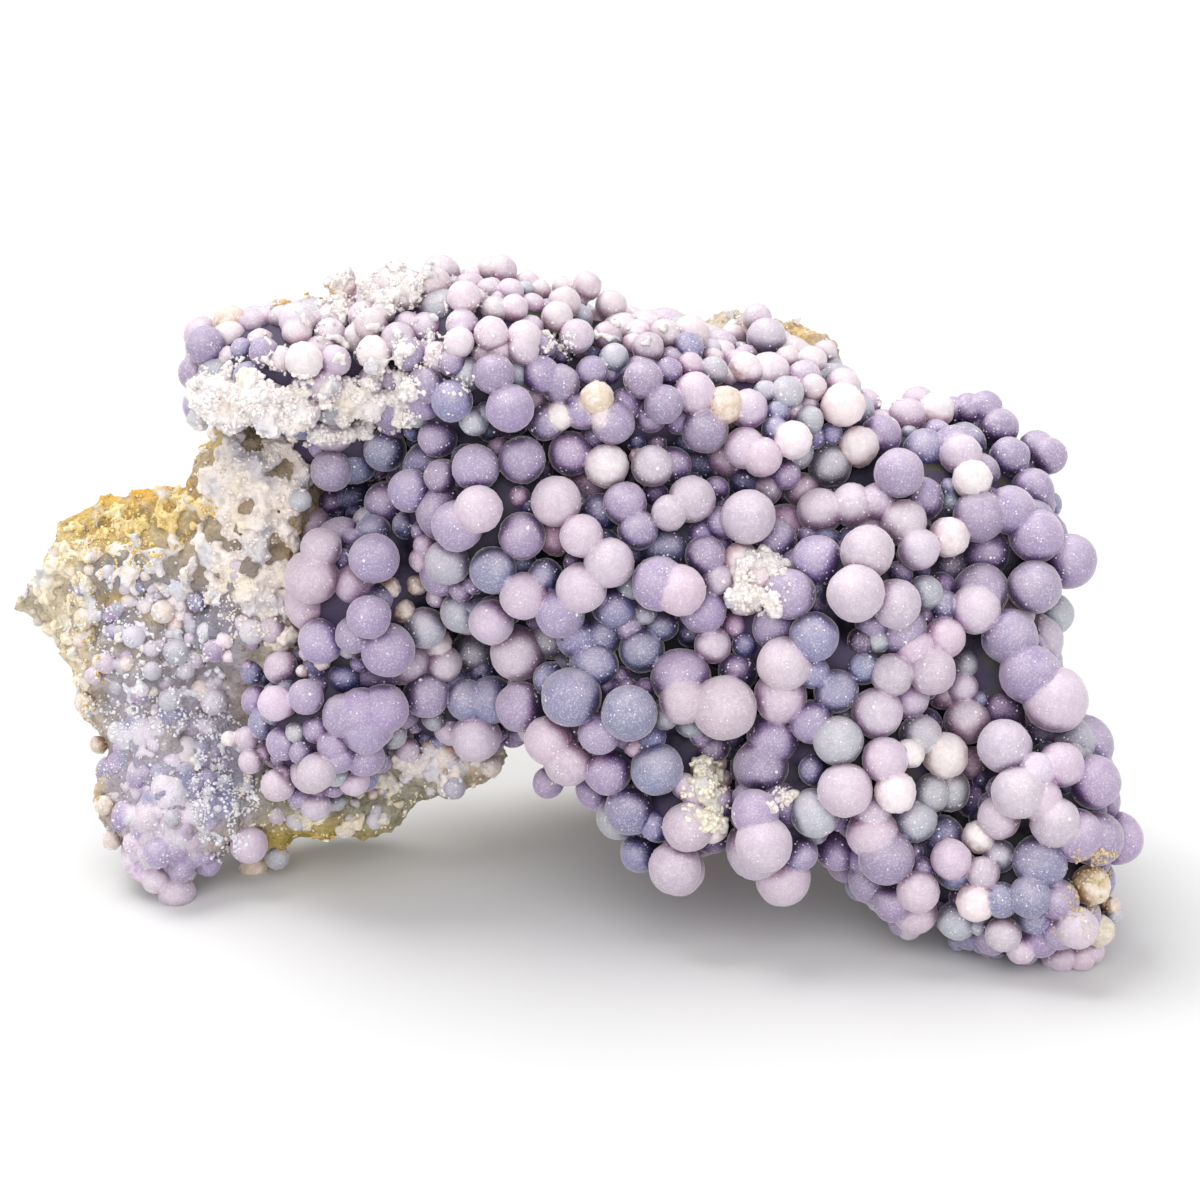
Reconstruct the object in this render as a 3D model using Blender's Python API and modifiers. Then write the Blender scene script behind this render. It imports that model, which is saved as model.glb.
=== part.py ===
"""Grape agate: balls of chalcedony grown all over one side of a loose piece of host rock.

Metres, +Z up. +X runs along the length, to the right seen from the front, and +Y from the front to
the back. The origin is on the ground, in the middle of the specimen. It stands on a left toe, a
right foot and a broken rear edge, with an open arch between them.

The balls were measured on a front view, each by its column, row and radius there and by how far it
stands out. A ball is placed where its line of sight meets the body that it grows on.
"""

import math

import bmesh
import bpy
import numpy as np
from mathutils import Matrix, Vector, noise
from mathutils.bvhtree import BVHTree

MM = 0.001

# The front view: an eye that looks down a little at a point in the middle of the specimen.
EYE_DISTANCE = 0.304
EYE_ELEVATION = math.radians(19)
FOCAL = 1903
MIDDLE = 600
AIM = Vector((0, 0, 0.047))
RIGHT = Vector((1, 0, 0))
AHEAD = Vector((0, math.cos(EYE_ELEVATION), -math.sin(EYE_ELEVATION)))
UPWARD = Vector((0, math.sin(EYE_ELEVATION), math.cos(EYE_ELEVATION)))
EYE = AIM - AHEAD * EYE_DISTANCE

# Moves the finished specimen so that its box is centred over the origin.
TO_CENTRE = Vector((7.46, 0.69, 0)) * MM

GAP = 0.3 * MM
BODY_VOXEL = 1.6 * MM
AGATE_VOXEL = 1.1 * MM
ROCK_VOXEL = 1.5 * MM
AGATE_TRIANGLES = 6600
ROCK_TRIANGLES = 2000
SPHERE_STEPS = 3
SEED = 7
BLOCK = 0.4

# How far a ball's middle lies in front of its body's surface, in radii, by its level.
LIFT = {0: -0.35, 1: 0.05, 2: 0.5, 3: 0.95}

# A ball seen edge on moves towards the eye by these steps, until it is this clear of its body, in radii.
FORWARD_STEP = 0.15
MOST_FORWARD = 3
LEAST_CLEAR = 0.2

# Lumps of the agate body: column and row of the middle in the front view, its y and its three
# radii in millimetres.
AGATE_MASSES = (
    (290, 365, 2, (15, 14, 8)),
    (400, 350, 4, (10, 12, 11)),
    (480, 365, 4, (20, 16, 13)),
    (620, 400, 6, (22, 17, 13)),
    (752, 422, 8, (18, 17, 13)),
    (900, 498, 4, (20, 17, 12)),
    (988, 548, 2, (10, 16, 14)),
    (985, 665, -6, (10, 16, 16)),
    (1030, 800, -18, (12, 15, 16)),
    (1020, 890, -26, (13, 11, 10)),
    (640, 560, 0, (28, 19, 20)),
    (500, 520, 0, (16, 16, 18)),
    (830, 620, -4, (24, 20, 20)),
    (640, 695, -7, (20, 17, 13)),
    (850, 755, -14, (18, 16, 13)),
    (680, 800, -18, (7, 9, 8)),
    (770, 815, -22, (7, 9, 8)),
    (905, 850, -22, (10, 11, 9)),
    (370, 600, 0, (11, 14, 15)),
    (330, 715, -4, (11, 12, 12)),
    (350, 432, 6, (12, 10, 7)),
    (470, 690, 2, (14, 10, 9)),
)

# Lumps of the host rock, in the same way: neck, wing, leg, underside, back, ridge and rear foot.
ROCK_MASSES = (
    (262, 520, 6, (13, 13, 20)),
    (272, 630, 5, (13, 12, 16)),
    (155, 560, 12, (15, 11, 14)),
    (62, 600, 16, (7, 8, 8)),
    (100, 560, 13, (9, 8, 9)),
    (95, 640, 10, (7, 8, 8)),
    (38, 596, 16, (4.5, 5, 5)),
    (170, 660, 8, (15, 12, 12)),
    (175, 745, 4, (12, 12, 14)),
    (180, 825, -6, (9, 10, 9)),
    (108, 690, 8, (7, 9, 9)),
    (128, 800, -2, (6, 8, 9)),
    (262, 715, 6, (9, 10, 9)),
    (245, 800, 0, (11, 11, 9)),
    (335, 795, 2, (14, 12, 8)),
    (440, 745, 4, (14, 12, 7)),
    (440, 520, 24, (28, 13, 24)),
    (560, 430, 21, (30, 11, 16)),
    (610, 600, 27, (26, 14, 21)),
    (800, 560, 26, (28, 12, 24)),
    (930, 620, 19, (17, 12, 22)),
    (735, 375, 22, (20, 9, 11)),
    (715, 690, 29, (17, 11, 14)),
    (745, 750, 32, (16, 9, 12)),
)

# Hollows of the agate body and of the rock, as column, row, radius and depth in radii.
AGATE_PITS = (
    (480, 442, 10, 1.6),
    (670, 438, 10, 1.5),
    (865, 477, 11, 1.5),
    (850, 628, 18, 1.8),
    (678, 742, 16, 1.6),
    (797, 776, 15, 1.8),
    (550, 556, 17, 1.8),
    (955, 822, 14, 1.8),
    (990, 680, 13, 1.5),
    (1025, 838, 14, 1.6),
    (404, 556, 14, 1.8),
    (336, 612, 9, 1.5),
)
ROCK_PITS = (
    (277, 477, 10, 1.2),
    (262, 581, 9, 2.0),
    (92, 586, 11, 1.0),
    (215, 512, 11, 1.0),
    (294, 506, 9, 1.0),
    (268, 838, 8, 1.0),
)

# Planes along which the rock broke off: a point in millimetres, and the side that is gone.
BREAKS = (
    ((10, 35, 60), (0.05, 1, 0.3)),
    ((50, 32, 45), (0.4, 1, -0.1)),
    ((-20, 33, 60), (-0.2, 1, 0.1)),
    ((20, 38, 30), (0.1, 1, -0.05)),
    ((-72, 20, 45), (-0.25, 1, 0.2)),
)

# Balls by the part of the front view that they fill: column, row, radius, level.
LEDGE = (
    (203, 336, 19, 1), (206, 346, 20, 2), (230, 323, 16.5, 1), (196, 373, 18, 1), (203, 388, 17, 1),
    (200, 406, 18, 1), (255, 325, 16, 0), (262, 318, 11, 1), (282, 318, 13, 1), (297, 320, 18, 2),
    (297, 333, 15, 1), (304, 360, 18, 3), (335, 361, 16, 2), (330, 334, 16, 1), (374, 353, 17, 3),
    (371, 325, 17, 1), (383, 311, 12, 2), (343, 287, 14, 2), (264, 352, 15, 1), (242, 350, 12, 0),
    (325, 387, 17, 1), (372, 380, 14, 1), (230, 400, 22, 1), (268, 405, 24, 1), (300, 410, 20, 1),
)
CREST = (
    (441, 274, 19.5, 1), (433, 285, 18, 2), (464, 297, 16.5, 3), (407, 296, 14, 2), (472, 279, 12, 1),
    (490, 270, 13, 2), (502, 270, 15, 2), (488, 290, 12, 1), (510, 292, 14, 1), (528, 282, 11.5, 2),
    (540, 291, 11, 1), (495, 310, 14, 1), (514, 308, 14, 2), (532, 306, 13, 0), (563, 288, 11, 2),
    (564, 303, 16, 2), (557, 317, 16, 2), (587, 286, 14.5, 3), (611, 306, 15.5, 3), (462, 325, 16, 1),
    (491, 334, 17.5, 2), (459, 342, 15, 3), (524, 337, 17, 2), (523, 350, 16, 2), (577, 336, 17, 3),
    (607, 337, 15, 2), (398, 340, 18, 1), (409, 354, 17, 2), (452, 363, 14, 1), (425, 385, 19, 1),
    (452, 401, 21, 2), (425, 402, 18, 0), (474, 421, 15, 2), (486, 412, 11, 1), (494, 374, 21, 2),
    (540, 375, 20, 1), (510, 408, 24, 3), (560, 384, 20, 2), (592, 372, 16.5, 2), (614, 358, 15, 2),
    (597, 398, 16.5, 3), (559, 416, 14.5, 3), (604, 418, 13.5, 3), (546, 421, 19.5, 2), (582, 411, 19, 1),
    (613, 423, 22, 1), (571, 454, 22.5, 2), (522, 460, 24, 2), (438, 438, 20, 1), (499, 449, 12, 1),
    (475.5, 468, 24, 2), (442, 477, 18.5, 1), (606.5, 466, 21.5, 3),
)
UPPER = (
    (637, 333, 13, 1), (648, 348, 16, 2), (665, 334, 15, 2), (690, 334, 19, 1), (688, 348, 16, 1),
    (710, 350, 12, 0), (733, 338, 14, 1), (757, 318, 14.5, 3), (766, 337, 19, 2), (744, 367, 15, 2),
    (752, 372, 11, 2), (787, 358, 12, 1), (811, 362, 16, 1), (825, 352, 12, 1), (690, 366, 14, 1),
    (713, 371, 15, 2), (643, 379, 20, 2), (668, 372, 15, 1), (664, 404, 20, 2), (695, 393, 21, 2),
    (625, 405, 18, 0), (650, 415, 18, 0), (724, 405, 19, 3), (748, 409, 20, 1), (705, 429, 24, 2),
    (697, 465, 22, 0), (672, 466, 20, 1), (652, 466, 21, 3), (637, 456, 7.5, 3), (636, 442, 10, 0),
    (745, 448, 21, 2), (762, 457, 20, 3), (793, 440, 18.5, 3), (775, 430, 14, 1), (778, 412, 12, 1),
    (787, 393, 17, 2), (765, 392, 12, 1), (813, 388, 14, 2), (809, 420, 15, 1), (831, 434, 12, 2),
    (830, 466, 22, 1), (785, 474, 16, 2), (743, 482, 15, 1), (765, 488, 18, 1), (802, 490, 18, 2),
    (692, 499, 23.5, 2), (716, 490, 14, 1), (748, 517, 27, 3), (625, 503.5, 22, 2), (669, 513, 18, 3),
    (720, 523, 17, 1), (638, 530, 20.5, 1),
)
SHOULDER = (
    (843, 386, 18, 2), (843, 405, 21.5, 3), (866, 404, 15, 1), (859, 446, 19, 3), (881, 435, 20.5, 2),
    (899, 473, 24.5, 3), (918, 404, 17.5, 1), (907, 417, 19, 2), (936, 410, 17.5, 3), (952, 412, 16, 1),
    (968, 411, 18, 1), (985, 408, 17.5, 2), (999, 428, 20, 2), (925, 452, 24, 0), (953, 446, 21, 1),
    (961, 455, 21, 2), (972, 479, 19, 3), (1009, 457, 20, 2), (1036, 448, 18, 2), (1048, 456, 19, 2),
    (1032, 490, 22, 1), (1048, 505, 14, 1), (979, 516, 26, 2), (1010, 510, 25, 2), (920, 500, 24, 0),
    (949, 537, 19.5, 3), (904, 523, 23, 2), (918.5, 549, 21, 3), (852, 505, 22, 2), (820, 511, 23, 2),
    (878, 502, 20, 1), (867, 552, 26.5, 3), (817, 561, 26, 1), (1036, 536, 27, 2), (985, 552, 27, 0),
    (1069, 561, 27, 3), (1034.5, 587, 26.5, 3), (948, 567, 18, 0),
)
CENTRE_LEFT = (
    (331.5, 471, 20.5, 2), (385, 450, 22, 1), (353, 497, 23, 1), (388, 505, 24, 1), (332, 503, 15, 1),
    (410, 490.5, 22, 2), (478.5, 509, 24, 3), (457, 526, 25.5, 2), (519, 497, 11.5, 0), (522, 536, 24, 1),
    (556, 501.5, 25, 3), (581.5, 536, 21.8, 3), (600, 515, 22, 0), (609, 563, 25, 2), (581.5, 588, 25, 2),
    (523.5, 596, 23.5, 3), (545, 577, 19, 1), (493, 570, 24, 1), (447.5, 562, 23, 1), (421.5, 560, 12.5, 1),
    (407, 525, 15, 0), (427, 546, 14, 0), (437, 597, 11, 1), (462, 588, 14, 0), (461, 612, 21, 1),
    (484, 611, 17, 1), (491.5, 622, 22.3, 3), (425, 628, 21, 2), (437, 643, 14, 3), (444, 664, 18, 3),
    (474, 651, 23, 1), (519, 652, 28.5, 2), (560, 613, 25, 2), (578, 637, 22, 1), (594, 665, 25, 1),
    (551, 679, 18, 1), (615, 605, 24, 0), (601, 633, 24, 0), (417, 584, 11, 0), (389, 588, 11, 0),
    (403, 611, 12, 0), (374, 558, 25, 3), (321, 548, 20, 3), (312, 527, 22, 1), (312, 577, 27, 2),
    (369, 617, 22, 3), (354, 635, 19, 1), (388, 650, 27, 2), (321, 641, 23, 1), (347, 677, 20, 0),
)
CENTRE = (
    (659, 583.5, 27.5, 2), (679.5, 590.5, 25.5, 3), (705, 555.5, 20.5, 1), (716, 578.5, 16.5, 2),
    (703, 610, 24, 1), (712.5, 645, 18.5, 3), (774, 541, 23, 1), (790, 594, 25.5, 2), (856, 593, 28.5, 3),
    (896, 604, 25, 2), (901, 631, 27, 0), (814, 637, 25, 1), (784, 664, 27, 2), (780.5, 697, 26.5, 2),
    (738, 672, 20, 1), (813, 672, 17, 1), (836, 691, 22.5, 1), (681, 678, 30, 1), (684, 699, 25, 2),
    (724.5, 708, 32, 3), (753, 723, 9.5, 3), (642, 650, 23, 1), (662, 624, 17.5, 0), (861.5, 641, 14.5, 0),
    (863, 667, 18.5, 0), (812, 722, 22.5, 2), (774, 736, 27, 1), (761, 766, 27.5, 1), (712, 745, 19, 0),
    (838, 741, 25, 2), (740, 560, 18, 1), (765, 575, 20, 1), (745, 595, 20, 1), (735, 625, 14, 0),
)
LOWER = (
    (426, 695, 23.5, 2), (467, 700, 21, 1), (492, 700, 24, 1), (521, 707, 25, 2), (571, 697, 30, 2),
    (476, 737.5, 24.5, 2), (549, 740, 24.5, 2), (568, 761, 24.5, 2), (548, 783, 16, 0), (629, 713, 28, 2),
    (600, 733, 22, 1), (608, 770, 25, 1), (597, 789, 22, 1), (657, 769, 26.5, 2), (636, 745, 13, 0),
    (630.5, 809.5, 25, 2), (618, 818, 22, 1), (641, 852, 21, 1), (658, 825, 18, 0), (675, 868, 26, 3),
    (679, 870, 26, 1), (688, 827, 25, 2), (713, 828, 14.5, 3), (722, 805, 18, 1), (684, 786, 13, 1),
    (695, 794, 14, 2), (723, 778.5, 9, 2), (718, 763, 9, 2), (703, 772, 13, 1), (755, 813, 24, 2),
    (764, 844, 28.5, 2), (783, 879, 27, 2), (800, 853, 18, 1), (815, 813, 25, 1), (838, 848, 23, 1),
    (845, 790, 27, 2), (815, 770, 17, 0), (872, 833, 26, 2), (872, 810, 20, 1), (914, 820, 23, 1),
    (886, 857, 28, 1), (918, 891.5, 21.3, 2), (893, 903, 20, 1), (915, 912, 22, 1), (902, 922, 14, 1),
    (909, 927, 13, 1),
)
RIGHT_SIDE = (
    (981, 591, 28, 2), (975.5, 609, 24.5, 3), (925, 593, 18, 1), (942, 606, 17, 1), (944, 638, 21, 2),
    (932, 671, 23.5, 3), (915, 650, 21, 1), (892, 675, 21.5, 2), (877, 713, 25.5, 2), (907, 698, 22, 1),
    (943, 694, 16, 1), (962, 687, 16, 1), (965, 663, 17, 0), (967.5, 721, 23.5, 2), (1010, 637, 28, 1),
    (1052, 614, 22, 0), (1030, 674, 30, 2), (1055, 699, 31.5, 3), (1004.5, 746, 26.5, 3), (1040, 735, 17, 0),
    (920, 736, 22, 1), (945, 755, 22.5, 2), (910, 753.5, 14, 3), (885, 760, 23, 2), (895.5, 792, 20.5, 3),
    (971, 763, 17, 1), (1036, 771, 18.5, 3), (1018, 793, 26, 3), (1040, 800, 22, 2), (1061, 765, 22.5, 2),
    (1093, 782, 27, 1), (1055, 822, 25, 2), (1075, 835, 27, 1), (1095, 838, 28, 1), (1116, 838, 27, 1),
    (999, 818, 21.5, 2), (979, 837, 16.5, 3), (951, 859, 20, 3), (983, 873, 16.5, 3), (999, 856, 17, 1),
    (955, 868, 22, 1), (940, 838, 24, 0), (930, 793, 20, 1), (948, 790, 22, 1), (1040, 862, 27, 1),
    (1030, 897, 21.5, 2), (1001, 900, 18, 1), (976, 902, 19, 2), (957, 920, 20, 1), (1058, 900, 21, 1),
    (1077, 928, 21, 3), (1098, 930, 16, 2), (1090, 885, 20, 1), (1112, 905, 8, 2), (1113, 915, 9, 2),
    (1060, 930, 20, 1), (1003, 934, 18, 1), (1021, 949, 15, 1), (1059, 956, 18, 1), (1081, 957, 14, 1),
    (1092, 950, 13, 1), (1040, 938, 20, 0), (1035, 915, 20, 0), (958, 941, 10, 0), (982, 944, 10, 0),
)
LEFT_CLUSTER = (
    (241, 567, 17, 1), (281, 668, 17, 2), (275.5, 703.5, 17.5, 3), (257, 701, 16, 1), (306, 697, 18, 2),
    (254, 671, 14, 1), (265, 723, 17, 0), (284, 743, 18, 0), (317, 729, 15, 0), (316.5, 772, 19, 3),
    (277.7, 785, 16.8, 3), (316, 806, 15, 2), (247.5, 738.5, 12.6, 2), (229, 738.5, 7.5, 2),
    (251, 761, 13, 2), (383, 709, 25.3, 3), (361, 712, 25, 2), (345, 716, 23, 1), (366, 729, 25, 2),
    (333, 745, 16, 1), (338, 757, 17, 1), (365, 757, 20, 1), (354, 780, 16, 1), (334, 786, 12, 0),
    (300, 794, 14, 0), (307, 654, 7, 3), (302, 671, 6, 3), (322, 662, 8, 3),
)
AGATE_BALLS = LEDGE + CREST + UPPER + SHOULDER + CENTRE_LEFT + CENTRE + LOWER + RIGHT_SIDE + LEFT_CLUSTER

ROCK_BALLS = (
    (177, 893, 18.5, 1), (156, 880, 14, 1), (181, 869, 14, 1), (159, 852, 16, 1), (208, 864, 13, 1),
    (249, 845, 18.5, 2), (254, 867, 14.5, 1), (277, 857, 13, 1), (454, 788, 12.5, 1), (406, 750, 14, 1),
    (438, 728, 15, 1), (134, 637, 12, 1), (177, 652, 14, 1), (214, 651, 12, 1), (163, 612, 12, 1),
    (252, 632, 13, 1), (272, 630, 14, 1), (170, 700, 12, 1), (214, 702, 14, 1), (86, 618, 12, 1),
    (300, 500, 12, 1),
)

# Small balls that fill the sides the front view doesn't show, by radius in millimetres.
FILLER_RADII = (3.4, 5.0)
FILLER_TRIES = 2600
FILLER_SPACING = 0.62
ROCK_CLEARANCE = 2.2 * MM

# Broad swells and fine unevenness of the rock's skin, as size and depth.
ROUGHNESS = ((17 * MM, 2.6 * MM), (6 * MM, 1.1 * MM))

AGATE_COLOUR = (0.60, 0.52, 0.74, 1)
ROCK_COLOUR = (0.82, 0.75, 0.58, 1)


def sight(column, row):
    """The direction of the line of sight through a point of the front view."""
    line = AHEAD * FOCAL + RIGHT * (column - MIDDLE) + UPWARD * (MIDDLE - row)
    return line.normalized()


def on_sight(column, row, depth):
    """The point of a line of sight whose y is depth."""
    line = sight(column, row)
    return EYE + line * ((depth - EYE.y) / line.y)


def real_size(pixels, point):
    """The size in metres of a length seen in the front view at a point's distance."""
    return pixels * (point - EYE).dot(AHEAD) / FOCAL


def new_object(name, mesh, collection):
    """An object that holds a mesh, in its collection."""
    made = bpy.data.objects.new(name, mesh)
    collection.objects.link(made)
    return made


def hide(helper):
    """Keeps a helper out of the model."""
    helper.hide_render = True
    helper.display_type = "WIRE"


def settle(target):
    """Applies the modifiers of an object."""
    graph = bpy.context.evaluated_depsgraph_get()
    mesh = bpy.data.meshes.new_from_object(target.evaluated_get(graph))
    target.modifiers.clear()
    target.data = mesh


def spheres(name, balls, collection, steps=SPHERE_STEPS):
    """One mesh object of separate icospheres, from middles and radii. A radius may be a vector."""
    shape = bmesh.new()
    bmesh.ops.create_icosphere(shape, subdivisions=steps, radius=1)
    corners = np.array([vertex.co for vertex in shape.verts])
    faces = np.array([[vertex.index for vertex in face.verts] for face in shape.faces])
    shape.free()
    points = [np.array(middle) + corners * np.array(radius) for middle, radius in balls]
    rings = [faces + i * len(corners) for i in range(len(balls))]
    mesh = bpy.data.meshes.new(name)
    mesh.from_pydata(np.concatenate(points), [], np.concatenate(rings))
    return new_object(name, mesh, collection)


def join(target, other):
    """Moves the faces of one object into another."""
    shape = bmesh.new()
    shape.from_mesh(target.data)
    shape.from_mesh(other.data)
    shape.to_mesh(target.data)
    shape.free()
    bpy.data.objects.remove(other)


def melt(target, voxel):
    """Joins the overlapping shapes of an object in one skin."""
    joined = target.modifiers.new("Join", "REMESH")
    joined.mode = "VOXEL"
    joined.voxel_size = voxel
    settle(target)


def thin_out(target, triangles):
    """Lowers the number of triangles of an object."""
    target.data.calc_loop_triangles()
    fewer = target.modifiers.new("Fewer", "DECIMATE")
    fewer.ratio = triangles / len(target.data.loop_triangles)
    settle(target)


def cut(target, cutter):
    """Takes a cutter's shape away from an object."""
    difference = target.modifiers.new("Cut", "BOOLEAN")
    difference.operation = "DIFFERENCE"
    difference.use_self = True
    difference.object = cutter
    settle(target)


def tree_of(target):
    """A search tree of an object's surface."""
    shape = bmesh.new()
    shape.from_mesh(target.data)
    tree = BVHTree.FromBMesh(shape)
    shape.free()
    return tree


def lumps(name, masses, pits, voxel, collection, cutters):
    """The body that a list of masses makes, with its pits."""
    sized = [
        (on_sight(column, row, depth * MM), Vector(radii) * MM)
        for column, row, depth, radii in masses
    ]
    body = spheres(name, sized, collection)
    melt(body, voxel)
    surface = tree_of(body)
    holes = []
    for column, row, radius, depth in pits:
        line = sight(column, row)
        mouth = EYE + line * reach_to(surface, line)
        wide = real_size(radius, mouth)
        holes.append((mouth, Vector((wide, wide * depth, wide))))
    pit_shapes = spheres(name + " pits", holes, cutters)
    hide(pit_shapes)
    cut(body, pit_shapes)
    melt(body, voxel)
    return body


def reach_to(surface, line):
    """How far along a line of sight it meets a surface, or comes nearest to one that it misses."""
    reach = surface.ray_cast(EYE, line)[3]
    if reach is not None:
        return reach
    reaches = np.arange(EYE_DISTANCE - 80 * MM, EYE_DISTANCE + 80 * MM, MM)
    gaps = [surface.find_nearest(EYE + line * reach)[3] for reach in reaches]
    return reaches[int(np.argmin(gaps))]


def is_inside(surface, point):
    nearest, normal, _, _ = surface.find_nearest(point)
    return (point - nearest).dot(normal) < 0


def grown_balls(listed, surface):
    """Middles and radii of the balls listed on the front view, grown on a surface."""
    balls = []
    for column, row, pixels, level in listed:
        line = sight(column, row)
        reach = reach_to(surface, line)
        radius = real_size(pixels, EYE + line * reach)
        middle = EYE + line * (reach - stand_out(surface, line, reach, radius, LIFT[level]))
        balls.append((middle, radius))
        balls.extend(stalk(middle, radius, surface))
    return balls


def stand_out(surface, line, reach, radius, lift):
    """How far a ball's middle lies in front of where its line of sight meets the surface.

    Where the line only grazes the surface, that is farther than the ball stands clear of it.
    """
    forward = lift * radius
    while 0 < forward < MOST_FORWARD * radius:
        if surface.find_nearest(EYE + line * (reach - forward))[3] > max(lift, LEAST_CLEAR) * radius:
            break
        forward += FORWARD_STEP * radius
    return forward


def stalk(middle, radius, surface):
    """Smaller balls that join a ball that stands clear of its body to it."""
    root, _, _, gap = surface.find_nearest(middle)
    if gap < 0.6 * radius or is_inside(surface, middle):
        return []
    count = 1 + int(gap / radius)
    return [(middle.lerp(root, (i + 1) / (count + 1)), 0.72 * radius) for i in range(count)]


def surface_points(target, count, chance):
    """Points spread at random over a mesh, with their normals."""
    mesh = target.data
    mesh.calc_loop_triangles()
    areas = np.array([triangle.area for triangle in mesh.loop_triangles])
    picks = chance.choice(len(areas), size=count, p=areas / areas.sum())
    for pick in picks:
        triangle = mesh.loop_triangles[int(pick)]
        corners = [mesh.vertices[i].co for i in triangle.vertices]
        shares = chance.dirichlet((1, 1, 1))
        yield sum((c * s for c, s in zip(corners, shares)), Vector()), Vector(triangle.normal)


def filler_balls(body, listed, rock_surface):
    """Balls that cover what the listed ones leave bare, on every side of the body."""
    chance = np.random.default_rng(SEED)
    kept = list(listed)
    fillers = []
    for point, normal in surface_points(body, FILLER_TRIES, chance):
        radius = chance.uniform(*FILLER_RADII) * MM
        near_rock = rock_surface.find_nearest(point)[3] < ROCK_CLEARANCE or is_inside(rock_surface, point)
        if near_rock or in_a_pit(point):
            continue
        if any((point - m).length < FILLER_SPACING * (r + radius) for m, r in kept):
            continue
        sunk = chance.uniform(0.3, 0.6)
        ball = (point - normal * sunk * radius, radius)
        kept.append(ball)
        fillers.append(ball)
    return fillers


def in_a_pit(point):
    line = point - EYE
    column = MIDDLE + FOCAL * line.dot(RIGHT) / line.dot(AHEAD)
    row = MIDDLE - FOCAL * line.dot(UPWARD) / line.dot(AHEAD)
    return any(math.hypot(column - c, row - r) < 1.3 * size for c, r, size, _ in AGATE_PITS)


def cube(name, cutters):
    """A big block that stands on the origin."""
    shape = bmesh.new()
    bmesh.ops.create_cube(shape, size=BLOCK, matrix=Matrix.Translation((0, 0, BLOCK / 2)))
    mesh = bpy.data.meshes.new(name)
    shape.to_mesh(mesh)
    shape.free()
    block = new_object(name, mesh, cutters)
    hide(block)
    return block


def break_off(target, point, side, cutters):
    """Takes away what lies on one side of a plane."""
    block = cube("beyond the break", cutters)
    turn = Vector((0, 0, 1)).rotation_difference(Vector(side)).to_matrix().to_4x4()
    block.matrix_world = Matrix.Translation(Vector(point) * MM) @ turn
    cut(target, block)


def roughen(target):
    """Gives a mesh the uneven skin of broken rock."""
    mesh = target.data
    for vertex, normal in [(v, Vector(v.normal)) for v in mesh.vertices]:
        swell = sum(depth * noise.noise(vertex.co / size) for size, depth in ROUGHNESS)
        vertex.co += normal * swell


def largest_part(target):
    """Keeps the biggest connected part of a mesh."""
    shape = bmesh.new()
    shape.from_mesh(target.data)
    bmesh.ops.triangulate(shape, faces=shape.faces)
    unseen = set(shape.verts)
    parts = []
    while unseen:
        part = {unseen.pop()}
        front = set(part)
        while front:
            front = {e.other_vert(v) for v in front for e in v.link_edges} - part
            part |= front
        unseen -= part
        parts.append(part)
    biggest = max(parts, key=len)
    bmesh.ops.delete(shape, geom=[v for v in shape.verts if v not in biggest], context="VERTS")
    shape.to_mesh(target.data)
    shape.free()


def painted(target, colour, roughness):
    """Gives an object its material."""
    material = bpy.data.materials.new(target.name)
    material.use_nodes = True
    shader = material.node_tree.nodes["Principled BSDF"]
    shader.inputs["Base Color"].default_value = colour
    shader.inputs["Roughness"].default_value = roughness
    shader.inputs["Metallic"].default_value = 0
    target.data.materials.clear()
    target.data.materials.append(material)


def grown_out(target, distance, cutters):
    """A helper that stands a little outside an object all round."""
    shell = new_object(target.name + " and gap", target.data.copy(), cutters)
    outward = shell.modifiers.new("Outward", "DISPLACE")
    outward.strength = distance
    outward.mid_level = 0
    settle(shell)
    hide(shell)
    return shell


def build():
    for old in list(bpy.data.objects):
        bpy.data.objects.remove(old)
    specimen = bpy.data.collections.new("grape agate")
    cutters = bpy.data.collections.new("cutters")
    bpy.context.scene.collection.children.link(specimen)
    bpy.context.scene.collection.children.link(cutters)
    cutters.hide_render = True
    floor = cube("ground", cutters)
    floor.location.z = -BLOCK

    rock = lumps("host_rock", ROCK_MASSES, ROCK_PITS, BODY_VOXEL, specimen, cutters)
    rock_surface = tree_of(rock)
    agate = lumps("agate_grapes", AGATE_MASSES, AGATE_PITS, BODY_VOXEL, specimen, cutters)
    agate_surface = tree_of(agate)

    for point, side in BREAKS:
        break_off(rock, point, side, cutters)
    melt(rock, BODY_VOXEL)
    roughen(rock)
    knobs = spheres("knobs", grown_balls(ROCK_BALLS, rock_surface), specimen)
    join(rock, knobs)
    melt(rock, ROCK_VOXEL)
    thin_out(rock, ROCK_TRIANGLES)
    cut(rock, floor)
    largest_part(rock)

    listed = grown_balls(AGATE_BALLS, agate_surface)
    fillers = filler_balls(agate, listed, rock_surface)
    balls = spheres("balls", listed + fillers, specimen)
    join(agate, balls)
    melt(agate, AGATE_VOXEL)
    thin_out(agate, AGATE_TRIANGLES)
    cut(agate, floor)
    cut(agate, grown_out(rock, GAP, cutters))
    largest_part(agate)

    for piece, colour, roughness in ((rock, ROCK_COLOUR, 0.9), (agate, AGATE_COLOUR, 0.45)):
        painted(piece, colour, roughness)
        piece.data.transform(Matrix.Translation(TO_CENTRE))


build()
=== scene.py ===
"""The looks of a grape agate specimen: balls of frosted chalcedony on a loose piece of host rock.

Metres, +Z up. The front faces -Y. Balls, crusts and stains were measured on a front view as columns
and rows, and are placed along its lines of sight.
"""

import functools
import math

import bmesh
import bpy
import numpy as np
from mathutils import Matrix, Vector, noise
from mathutils.bvhtree import BVHTree


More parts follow.
